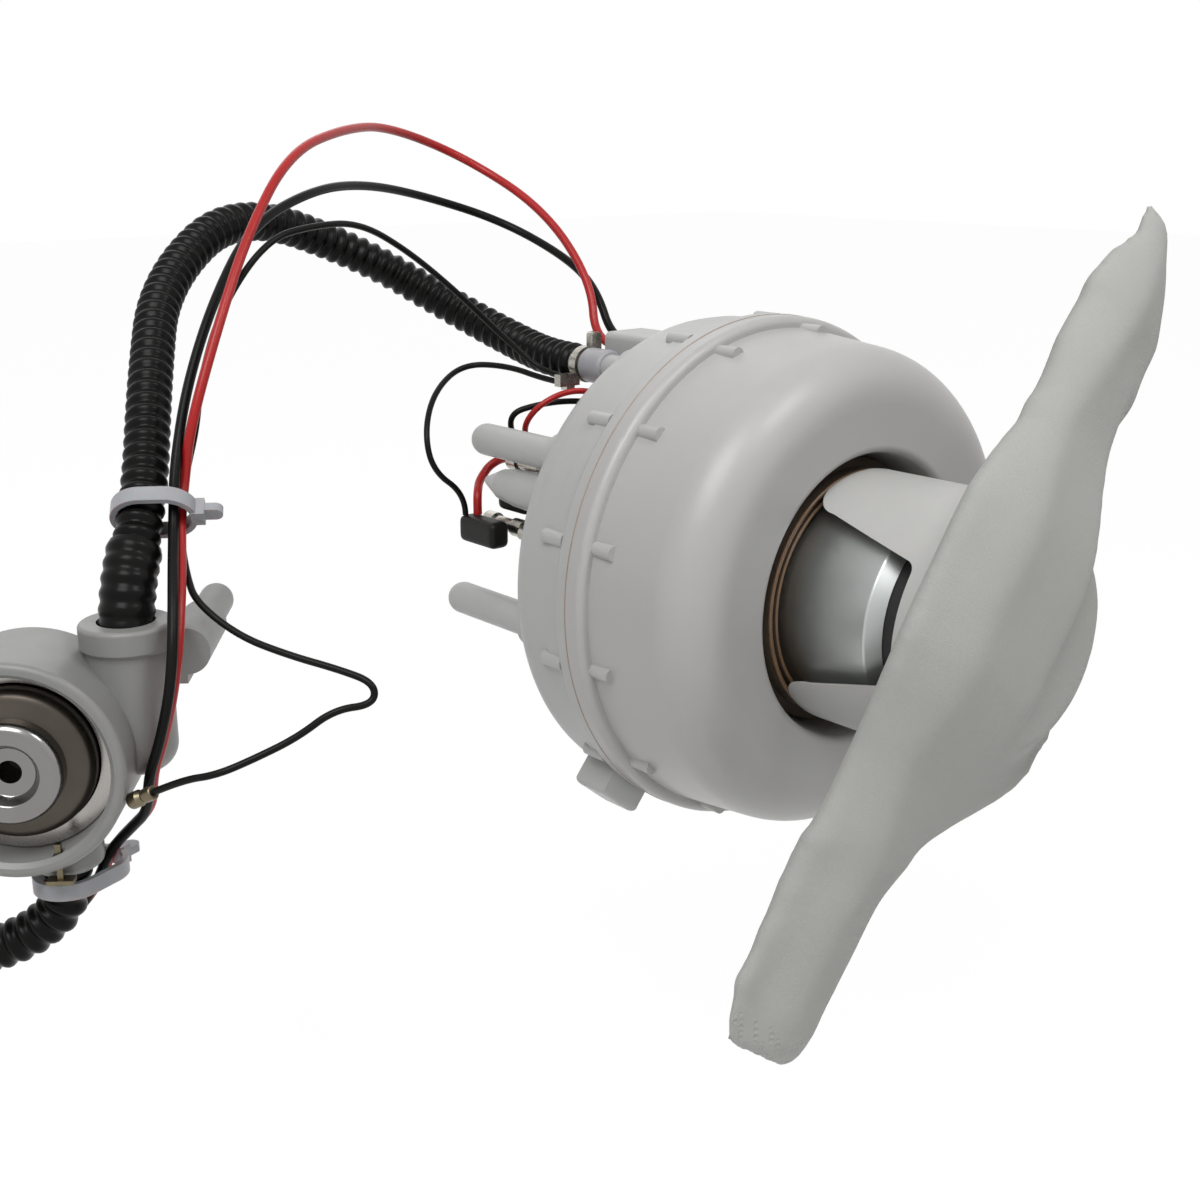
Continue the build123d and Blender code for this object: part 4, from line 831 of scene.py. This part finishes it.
@dataclass
class RingedTube:
    """A hose whose wall is folded into rings, swept along a route."""

    route: Route
    crest: float
    valley: float
    pitch: float
    per_ring: int = 8
    sides: int = 28
    sharpness: float = 0.75
    mend_gap: float = 1e-7
    soft_angle: float = 80.0
    least_side: float = 0.1

    def sweep(self, name: str) -> tuple[Piece, list[list[float]]]:
        """Sweeps the rings along points read from the route's spline.

        Args:
            name: The piece's name.

        Returns:
            The mesh object and the points that it follows.
        """
        line = self.route.line()
        runs = np.linalg.norm(np.diff(line, axis=0), axis=1)
        travelled = np.concatenate(([0.0], np.cumsum(runs)))
        length = travelled[-1]
        count = int(length / (self.pitch * MM) * self.per_ring)
        stations = np.linspace(0.0, length, count + 1)
        spots = np.stack([np.interp(stations, travelled, line[:, axis]) for axis in range(3)], 1)
        along = np.gradient(spots, axis=0)
        along /= np.linalg.norm(along, axis=1)[:, None]
        phase = 2 * math.pi * stations / (self.pitch * MM)
        fold = (0.5 - 0.5 * np.cos(phase)) ** self.sharpness
        radius = (self.valley + (self.crest - self.valley) * fold) * MM
        vertices, faces = self._skin(spots, along, radius)
        mesh = bpy.data.meshes.new(name)
        mesh.from_pydata(vertices, [], faces)
        mesh.update()
        piece = Hand.place(name, mesh)
        Hand.mend(piece, self.mend_gap)
        Hand.soften(piece, self.soft_angle)
        return piece, line.tolist()

    def _skin(self, spots: Array, along: Array, radius: Array
              ) -> tuple[list[list[float]], list[tuple[int, ...]]]:
        """Rings of vertices and the faces between them, with both ends closed.

        Args:
            spots: Centre of each ring.
            along: Direction of the hose at each ring.
            radius: Radius of each ring.

        Returns:
            Vertices and faces.
        """
        side = np.cross(along[0], (0.0, 0.0, 1.0))
        if np.linalg.norm(side) < self.least_side:
            side = np.cross(along[0], (1.0, 0.0, 0.0))
        turns = np.arange(self.sides) * 2 * math.pi / self.sides
        rings = []
        for centre, axis, size in zip(spots, along, radius):
            side = side - axis * np.dot(side, axis)
            side /= np.linalg.norm(side)
            across = np.cross(axis, side)
            circle = np.outer(np.cos(turns), side) + np.outer(np.sin(turns), across)
            rings.append(centre + size * circle)
        total = len(spots)
        faces = []
        for ring in range(total - 1):
            first = ring * self.sides
            for step in range(self.sides):
                other = (step + 1) % self.sides
                faces.append((first + step, first + other,
                              first + self.sides + other, first + self.sides + step))
        faces.append(tuple(reversed(range(self.sides))))
        faces.append(tuple(range((total - 1) * self.sides, total * self.sides)))
        return np.concatenate(rings).tolist(), faces


@dataclass
class Wire:
    """One insulated wire with its route, real length and far end."""

    node: str
    route: Route
    radius: float
    length: float
    finish: str
    far_end: FarEnd
    stiffness: str = "medium"
    on_it: tuple[str, ...] = ()

    def build(self, paint: Paintbox, dressed: dict[str, Piece]) -> None:
        """Lays the wire, finishes it, hides its node and logs its name.

        Args:
            paint: The finishes.
            dressed: Pieces that stand for nodes of the frame; not used.
        """
        piece = self.route.curve(self.node + "_sleeve", self.radius)
        paint.coat(piece, self.finish)
        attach(piece, MODULE)
        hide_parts(self.node)
        LOG.info("wire: %s", piece.name)


@dataclass
class Boots:
    """Soft rubber boots over the two terminals."""

    paint: Paintbox
    nodes: tuple[str, ...] = ("boot_upper", "boot_lower")
    voxel: float = 0.3
    smoothing: int = 16

    def build(self) -> dict[str, Piece]:
        """Rounds each boot from its solid.

        Returns:
            The rounded boots by the names of their nodes.
        """
        made = {}
        for node in self.nodes:
            boot = Hand.skin_of(node, node + "_rounded", self.voxel, self.smoothing)
            Hand.soften(boot, ALL_SOFT)
            self.paint.coat(boot, "rubber")
            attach(boot, MODULE)
            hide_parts(node)
            made[node] = boot
            LOG.info("boot: %s, %d faces", boot.name, len(boot.data.polygons))
        return made


@dataclass
class Harness:
    """Hoses, wires and leads of the module."""

    paint: Paintbox
    hose_crest: float = 4.25
    hose_valley: float = 3.5
    hose_pitch: float = 2.95
    cuff_crest: float = 4.95
    cuff_valley: float = 4.62
    cuff_pitch: float = 2.6
    thick: float = 0.95
    thin: float = 0.65
    feed: Route = field(default_factory=lambda: Route((
        (-14, 20, 40), (-14, 29, 40), (-12, 44, 42), (-16, 61, 48), (-29.5, 80, 60.5),
        (-63.5, 77.5, 72.5), (-90.2, 61.8, 59), (-105.4, 37.5, 42.5), (-116.2, 19.8, 24.8),
        (-121, 14.75, 17.5)), steps=64))
    cuff: Route = field(default_factory=lambda: Route((
        (-121, 14.75, 17.5), (-126, 10, 10.5), (-126, 10, 1)), steps=48))
    outflow: Route = field(default_factory=lambda: Route((
        (-139.6, 12.7, -37.5), (-139.6, 12.7, -44.2), (-144.6, 16.5, -50.6),
        (-151.2, 21.5, -54.2), (-160.0, 28.1, -57.2), (-172, 36.9, -59.4), (-186, 46, -59)),
        steps=64))

    def build(self) -> None:
        """Lays the two hoses, then every wire."""
        self._feed_hose()
        self._outflow_hose()
        dressed = Boots(self.paint).build()
        for wire in self.wires():
            wire.build(self.paint, dressed)

    def _hose(self, route: Route, name: str) -> tuple[Piece, list[list[float]]]:
        """Sweeps one length of ringed hose and blackens it.

        Args:
            route: The hose's route.
            name: The piece's name.

        Returns:
            The hose and the points that it follows.
        """
        hose, line = RingedTube(route, self.hose_crest, self.hose_valley,
                                self.hose_pitch).sweep(name)
        self.paint.coat(hose, "hose_black")
        return hose, line

    def _feed_hose(self) -> None:
        """Hose from the cap's nozzle to the regulator, with its wider end sleeve."""
        cuff, _ = RingedTube(self.cuff, self.cuff_crest, self.cuff_valley, self.cuff_pitch,
                             per_ring=10, sharpness=0.8).sweep("feed_hose_end_sleeve")
        self.paint.coat(cuff, "hose_black")
        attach(cuff, MODULE)
        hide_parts("feed_hose_cuff")
        hose, line = self._hose(self.feed, "feed_hose_ringed")
        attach(hose, MODULE)
        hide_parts("feed_hose")
        LOG.info("hose: feed hose and its end sleeve")

    def _outflow_hose(self) -> None:
        """Hose from the regulator's low port to its connector."""
        hose, line = self._hose(self.outflow, "return_hose_ringed")
        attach(hose, MODULE)
        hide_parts("return_hose")
        LOG.info("hose: return hose")

    def wires(self) -> tuple[Wire, ...]:
        """Every wire and lead, with its route.

        Returns:
            The wires.
        """
        return (
            Wire("red_wire", Route((
                (-7, 15, 43.5), (-7, 22.5, 43.5), (-3.5, 28, 56.5), (-3.6, 44.5, 71.5),
                (-9.5, 66.3, 82.5), (-32, 64, 89.5), (-52.5, 49.5, 89), (-73.5, 36, 84.5),
                (-88.5, 27, 70), (-100, 19.5, 53.5), (-108, 16.3, 37.5), (-108.7, 18.5, 28.2),
                (-111.6, 15.3, 21.8), (-113.7, 11.8, 17.2), (-116.3, 7.2, 13.1),
                (-119.1, 2.7, 8.2), (-121.7, -0.7, 2.2), (-123.6, -1.4, -5.4),
                (-125.1, 0.8, -14.4), (-127.16, 1.62, -20), (-126.08, 5.06, -27.5),
                (-127.36, 10.52, -32.5), (-130.12, 14.34, -37.3), (-132.1, 15.7, -43),
                (-134.88, 19.16, -49.7), (-140.68, 23.76, -55.5), (-148.28, 29.46, -59),
                (-158.4, 36.8, -60.8), (-169.36, 45.52, -61.2), (-178.96, 52.72, -61.2))),
                self.thick, 360.9, "red_sleeve", FarEnd.PLUG, on_it=("wire_plug",)),
            Wire("black_wire", Route((
                (-2.2, 15, 43.5), (-2.2, 22, 43.5), (-0.6, 29.6, 54.5), (0.9, 42.3, 60.7),
                (-3.2, 61.3, 68.2), (-24, 64, 74.5), (-44, 56.5, 77.5), (-63, 45.5, 77),
                (-81.5, 38, 71), (-94.5, 30, 58.5), (-104.5, 23.5, 44), (-111.3, 17, 30.7),
                (-113.6, 14.1, 22.3), (-115.9, 10.3, 17.9), (-118.6, 5.6, 13.8),
                (-121.2, 1.1, 9), (-123.5, -2.5, 3.1), (-125.1, -3.3, -4.5),
                (-126.6, -1.2, -13.4), (-128.72, 0.04, -20), (-127.82, 3.24, -27.5),
                (-129.04, 8.78, -32.5), (-131.8, 12.6, -37.3), (-133.78, 13.96, -43),
                (-136.48, 17.36, -49.5), (-142.12, 21.84, -55.3), (-149.72, 27.54, -58.8),
                (-159.84, 34.88, -60.6), (-170.8, 43.6, -61.2), (-180.4, 50.8, -61.2))),
                self.thick, 346.3, "black_sleeve", FarEnd.PLUG, on_it=("wire_plug",)),
            Wire("earth_lead", Route((
                (-19.8, 18.5, 37.9), (-19.8, 25, 37.9), (-26, 31, 45.5), (-37, 33, 56),
                (-49, 33.2, 65), (-61.5, 31, 71), (-74, 27.5, 71), (-85, 26, 69), (-96, 25, 57),
                (-103.6, 20.4, 44), (-106.2, 17.6, 36.9), (-107.5, 20.7, 27.7),
                (-110.9, 17.4, 21.3), (-112.5, 14, 16.6), (-114.6, 8.4, 12.2), (-116, 2.9, 9),
                (-112.5, -5.5, 4), (-107.5, -14, 1.5), (-102, -20.5, -0.5),
                (-98.3, -26.3, -2.3), (-99, -27, -5.9), (-105.5, -24.5, -6),
                (-111, -21.5, -10.5), (-117.5, -18.5, -13.5), (-124, -16.5, -15.5),
                (-127.4, -10.9, -17.2), (-130.3, -5.4, -20.4))),
                self.thin, 243.8, "black_sleeve", FarEnd.FITTING, stiffness="limp",
                on_it=("earth_crimp", "earth_ring")),
            Wire("cap_lead", Route((
                (-19, 18.5, 36.2), (-19, 25, 36.2), (-22, 35, 38.5), (-28, 43.5, 38.5),
                (-39, 38.8, 34.3), (-46.5, 32.2, 27.4), (-46.5, 29.8, 18.9),
                (-39.2, 28.2, 13), (-39.2, 28.2, 8.4))),
                self.thin, 72.3, "black_sleeve", FarEnd.OBJECT, stiffness="limp",
                on_it=("boot_lower", "spade_lower")),
            Wire("red_pigtail", Route((
                (-8.5, 9, 39.9), (-8.5, 9, 35.5), (-14.5, 11, 34.4), (-22, 13, 35.8),
                (-28.5, 15.5, 33), (-30.3, 19, 28), (-27, 21, 23.5), (-23, 21, 18.5),
                (-23, 20.5, 13.6), (-27, 20.5, 13.6))),
                self.thin, 51.3, "red_sleeve", FarEnd.OBJECT, stiffness="limp",
                on_it=("spade_upper", "red_jumper")),
            Wire("black_pigtail", Route((
                (-5.8, 9, 39.9), (-5.8, 9, 33.4), (-14, 12, 32.2), (-21.5, 14.5, 33.2),
                (-26.5, 18.7, 32.3), (-32, 21, 30.8), (-30, 23.5, 25.5), (-24, 24, 21),
                (-22.6, 23.4, 16), (-22.6, 23.4, 11.6), (-27, 23.4, 11.6))),
                self.thin, 60.2, "black_sleeve", FarEnd.OBJECT, stiffness="limp",
                on_it=("boot_upper",)),
        )


@dataclass
class Strainer:
    """Felt strainer bag over the pump's inlet, with places along it and across it."""

    paint: Paintbox
    node: str = "strainer_bag"
    angle: float = 56.2
    voxel: float = 1.25
    smoothing: int = 7
    last_smoothing: int = 6
    lower_width: Table = (
        (-88, 1.0), (-72, 1.05), (-60, 0.9), (-48, 0.72), (-42, 0.78), (-37, 1.04), (-32, 1.2),
        (-24, 1.12), (-16, 0.99), (-8, 0.95), (0, 0.94), (8, 0.93), (16, 0.88), (24, 0.74),
        (32, 0.60), (40, 0.66), (48, 0.8), (56, 0.92), (64, 1.05), (80, 0.9), (90, 0.4))
    upper_width: Table = (
        (-90, 0.75), (-84, 0.9), (-78, 1.0), (52, 0.96), (62, 0.82), (70, 0.88), (80, 1.15),
        (90, 1.3))
    lower_front: Table = (
        (-88, 90.0), (-50, 82.0), (-42, 81.0), (-34, 86.5), (-26, 88.5), (-12, 88.0), (0, 87.0),
        (18, 86.0), (28, 84.0), (36, 82.5), (48, 83.0), (60, 90.0))
    crease_line: Table = (
        (-88, 4.0), (-48, 7.0), (-30, 15.0), (0, 20.0), (24, 18.0), (40, 15.0), (60, 7.0),
        (88, 0.0))
    # Each ramp is the place where a change starts and the width over which it grows.
    lower_ramp: Pair = (3.0, 12.0)
    crease_height: float = 1.9
    crease_reach: float = 5.5
    crease_round: float = 2.0
    hollow_depth: float = 1.1
    hollow_away: float = 9.0
    hollow_width: float = 4.0
    # Over the cage's end the felt lies cover_rise towards -Y as far out as cover_inner,
    # cover_drop at cover_outer, and edge_back beyond that.
    cover_rise: float = 91.2
    cover_inner: float = 20.0
    cover_outer: float = 26.6
    cover_drop: float = 85.2
    edge_back: float = 83.2
    edge_width: float = 3.5
    wrap_lower: Pair = (4.0, 8.0)
    wrap_reach: Pair = (14.0, 11.0)
    wrap_beside: Pair = (-34.0, 20.0)
    wrap_inner: float = 4.0
    facing_ramp: Pair = (-0.25, 0.5)
    skin: float = 1.5
    tip_shift: float = 5.4
    tip_ramp: Pair = (76.0, 11.0)
    tip_bend: float = 1.5
    weld_low: float = -81.5
    weld_high: float = 86.5
    puckers: Table = (
        (38.0, 0.7), (33.5, -0.4), (-49.0, 0.9), (-53.0, 0.5), (-58.0, 0.4), (-76.0, 0.9),
        (-79.5, -0.5), (-67.0, 0.3))
    pucker_width: float = 1.8
    pucker_ramp: Pair = (12.0, 5.0)
    wave_heights: Triple = (0.30, 0.22, 0.08)
    wave_along: Triple = (9.0, 17.0, 3.1)
    wave_across: Triple = (7.0, 5.0, 2.7)
    wave_bend: float = 0.8
    wave_start: float = 1.3
    wave_near: float = 0.3
    wave_ramp: Pair = (30.0, 30.0)

    def build(self) -> None:
        """Makes the bag from its solid, as a soft skin with folds and welded ends."""
        bag = Hand.skin_of(self.node, "felt_bag", self.voxel, self.smoothing)
        self._fold(bag)
        Hand.smooth(bag, self.last_smoothing)
        Hand.soften(bag, ALL_SOFT)
        self.paint.coat(bag, "needled_felt")
        bag.data.materials.append(self.paint.materials["welded_felt"])
        self._weld(bag)
        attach(bag, MODULE)
        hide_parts(self.node)
        LOG.info("strainer: %s, %d faces", bag.name, len(bag.data.polygons))

    def _fold(self, bag: Piece) -> None:
        """Draws the felt in round the cage, creases it and presses shallow folds into it.

        Args:
            bag: The bag's mesh.
        """
        spots = self._read(bag.data, "co") / MM
        normals = self._read(bag.data, "normal")
        turn = math.radians(self.angle)
        along = spots[:, 0] * math.cos(turn) + spots[:, 2] * math.sin(turn)
        across = -spots[:, 0] * math.sin(turn) + spots[:, 2] * math.cos(turn)
        lower = self._ramp(-across, *self.lower_ramp)
        front = self._table(along, self.lower_front)
        spots[:, 1] = np.where(spots[:, 1] < -front,
                               spots[:, 1] * (1 - lower) - front * lower, spots[:, 1])
        moved = self._drawn_in(along, across)
        outward = np.clip(-normals[:, 1], 0.0, 1.0)
        line = self._table(along, self.crease_line)
        crease = np.sqrt((moved - line) ** 2 + self.crease_round ** 2) - self.crease_round
        spots[:, 1] -= self.crease_height * np.exp(-crease / self.crease_reach) * outward
        hollow = (moved - line - self.hollow_away) / self.hollow_width
        spots[:, 1] += self.hollow_depth * np.exp(-hollow ** 2) * outward
        spots += normals * self._wave(along, across)[:, None]
        self._wrap(spots, normals, along, moved)
        change = moved - across
        spots[:, 0] -= change * math.sin(turn)
        spots[:, 2] += change * math.cos(turn)
        bag.data.vertices.foreach_set("co", (spots * MM).ravel())
        bag.data.update()

    def _drawn_in(self, along: Array, across: Array) -> Array:
        """Narrows the bag, puckers its upper edge and shifts its tip.

        Args:
            along: Places along the bag.
            across: Places across the bag.

        Returns:
            The new places across the bag.
        """
        share = np.where(across < 0, self._table(along, self.lower_width),
                         self._table(along, self.upper_width))
        moved = across * share
        for place, size in self.puckers:
            bump = size * np.exp(-((along - place) / self.pucker_width) ** 2)
            moved += bump * self._ramp(across, *self.pucker_ramp)
        return moved + self.tip_shift * self._ramp(along, *self.tip_ramp) ** self.tip_bend

    def _wave(self, along: Array, across: Array) -> Array:
        """Slow unevenness of the felt, stronger away from the cage.

        Args:
            along: Places along the bag.
            across: Places across the bag.

        Returns:
            How far the felt stands out at each place.
        """
        slow, cross, fine = self.wave_heights
        ahead = [along / length for length in self.wave_along]
        aside = [across / length for length in self.wave_across]
        wave = slow * np.sin(ahead[0] + self.wave_bend * np.sin(aside[0]))
        wave += cross * np.sin(aside[1] + ahead[1] + self.wave_start)
        wave += fine * np.sin(ahead[2]) * np.sin(aside[2])
        far = self._ramp(np.abs(along), *self.wave_ramp)
        return wave * (self.wave_near + (1.0 - self.wave_near) * far)

    def _wrap(self, spots: Array, normals: Array, along: Array,
              across: Array) -> None:
        """Lays the felt close over the cage's end and bends its lower edge back round it.

        Args:
            spots: Places of the vertices, changed in place.
            normals: Which way the skin faces at each vertex.
            along: Their places along the bag.
            across: Their places across the bag.
        """
        reach = np.hypot(along, across)
        shell = np.interp(
            reach, (self.cover_inner, self.cover_outer, self.cover_outer + self.edge_width),
            (self.cover_rise, self.cover_drop, self.edge_back))
        away, fade = self.wrap_reach
        near = self._ramp(-reach, -self.cover_outer - away, fade)
        pull = self._ramp(-across, *self.wrap_lower) * near * near * (3.0 - 2.0 * near)
        pull *= self._ramp(along, *self.wrap_beside)
        pull *= self._ramp(reach, self.cover_inner - self.wrap_inner, self.wrap_inner)
        skin = -shell + self.skin * (1.0 - self._ramp(-normals[:, 1], *self.facing_ramp))
        behind = (normals[:, 1] > 0) & (spots[:, 1] > skin)
        pull = np.where(behind & (reach < self.cover_outer), 0.0, pull)
        spots[:, 1] = spots[:, 1] * (1 - pull) + skin * pull
        cover = (normals[:, 1] < 0) & (reach < self.cover_outer)
        spots[:, 1] = np.where(cover, np.minimum(spots[:, 1], -shell), spots[:, 1])

    def _weld(self, bag: Piece) -> None:
        """Gives both ends of the bag the pressed finish of its weld.

        Args:
            bag: The bag's mesh.
        """
        turn = math.radians(self.angle)

        def at_end(centre: Vector, _: Vector) -> bool:
            """Tells whether a face lies at one of the bag's ends."""
            along = (centre.x * math.cos(turn) + centre.z * math.sin(turn)) / MM
            return along < self.weld_low or along > self.weld_high

        count = Hand.pick_faces(bag, at_end)
        bag.active_material_index = 1
        bpy.ops.object.material_slot_assign()
        bpy.ops.object.mode_set(mode="OBJECT")
        LOG.info("strainer: %d faces welded", count)

    @staticmethod
    def _read(mesh: bpy.types.Mesh, what: str) -> Array:
        """Reads a value of every vertex.

        Args:
            mesh: The mesh to read.
            what: "co" for its place or "normal" for the way it faces.

        Returns:
            One row for each vertex.
        """
        values = np.zeros(len(mesh.vertices) * 3)
        mesh.vertices.foreach_get(what, values)
        return values.reshape(-1, 3)

    @staticmethod
    def _ramp(values: Array, start: float, width: float) -> Array:
        """Rises from 0 at a start to 1 over a width."""
        return np.clip((values - start) / width, 0.0, 1.0)

    @staticmethod
    def _table(along: Array, pairs: Table) -> Array:
        """Reads a table at places along the bag, straight between its pairs."""
        places, values = zip(*pairs)
        return np.interp(along, places, values)


@dataclass
class Canister:
    """Small trim on the filter canister."""

    paint: Paintbox
    seam_radius: float = 52.72
    seam_thick: float = 0.22
    seam_height: float = 22.2
    collar_spot: Point = (-14.0, 12.6, 40.0)
    collar_radius: float = 3.75
    collar_length: float = 7.0
    collar_round: float = 0.7
    collar_sides: int = 64
    collar_soft: float = 50.0
    sharp_angle: float = 40.0
    ring_flatness: float = 0.85
    ring_soft: float = 80.0
    ring_turns: int = 180
    ring_sides: int = 12
    isolator_rings: tuple[Triple, ...] = ((24.95, 0.42, 49.55), (22.95, 0.36, 49.2))

    def build(self) -> None:
        """Adds the nozzle's collar, a thin brownish line in the flange's groove and the isolator's
        lips.
        """
        self._collar()
        # A thin brownish ring in the flange's groove, where cap and bowl meet.
        self._ring("flange_groove_line", "weld_line", self.seam_radius, self.seam_thick,
                   self.seam_height)
        for step, (radius, thick, height) in enumerate(self.isolator_rings, 1):
            self._ring(f"isolator_lip_{step}", "amber_ring", radius, thick, height)

    def _collar(self) -> None:
        """Slips a plain collar over the nozzle, with both its edges rounded."""
        Hand.let_go()
        bpy.ops.mesh.primitive_cylinder_add(
            vertices=self.collar_sides, radius=self.collar_radius * MM,
            depth=self.collar_length * MM)
        collar = Hand.name("nozzle_collar")
        Hand.settle(collar, Matrix.Translation([MM * value for value in self.collar_spot])
                    @ Matrix.Rotation(math.pi / 2, 4, "X"))
        Hand.finish_with(collar, "BEVEL", width=self.collar_round * MM, segments=4,
                         limit_method="ANGLE", angle_limit=math.radians(self.sharp_angle))
        Hand.soften(collar, self.collar_soft)
        self.paint.coat(collar, "tie_nylon")
        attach(collar, MODULE)
        LOG.info("canister: nozzle collar")

    def _ring(self, name: str, finish: str, radius: float, thick: float, height: float) -> None:
        """Rolls one ring round the pump's axis and flattens it a little.

        Args:
            name: The ring's name.
            finish: Its finish.
            radius: Radius of its middle line, in millimetres.
            thick: Half its thickness, in millimetres.
            height: Its distance in front of the canister's middle, in millimetres.
        """
        Hand.let_go()
        bpy.ops.mesh.primitive_torus_add(
            major_segments=self.ring_turns, minor_segments=self.ring_sides,
            major_radius=radius * MM, minor_radius=thick * MM)
        ring = Hand.name(name)
        Hand.settle(ring, Matrix.Translation((0, -height * MM, 0))
                    @ Matrix.Rotation(math.pi / 2, 4, "X")
                    @ Matrix.Scale(self.ring_flatness, 4, (0, 0, 1)))
        Hand.soften(ring, self.ring_soft)
        self.paint.coat(ring, finish)
        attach(ring, MODULE)
        LOG.info("canister: %s", name)


def main() -> None:
    """Builds the studio, then every sub-assembly in order."""
    Hand.let_go()
    Studio().build()
    paint = Paintbox()
    Harness(paint).build()
    # The regulator housing takes the darkened copy of the milky plastic, as painted shade.
    paint.coat_frame({
        "canister_bowl": "bowl_plastic", "regulator_housing": "regulator_painted_shade_plastic",
        "pump_isolator": "amber_isolator", "earth_crimp": "aged_brass",
        "regulator_earth_pin": "aged_brass"})
    Strainer(paint).build()
    Canister(paint).build()


if __name__ == "__main__":
    main()
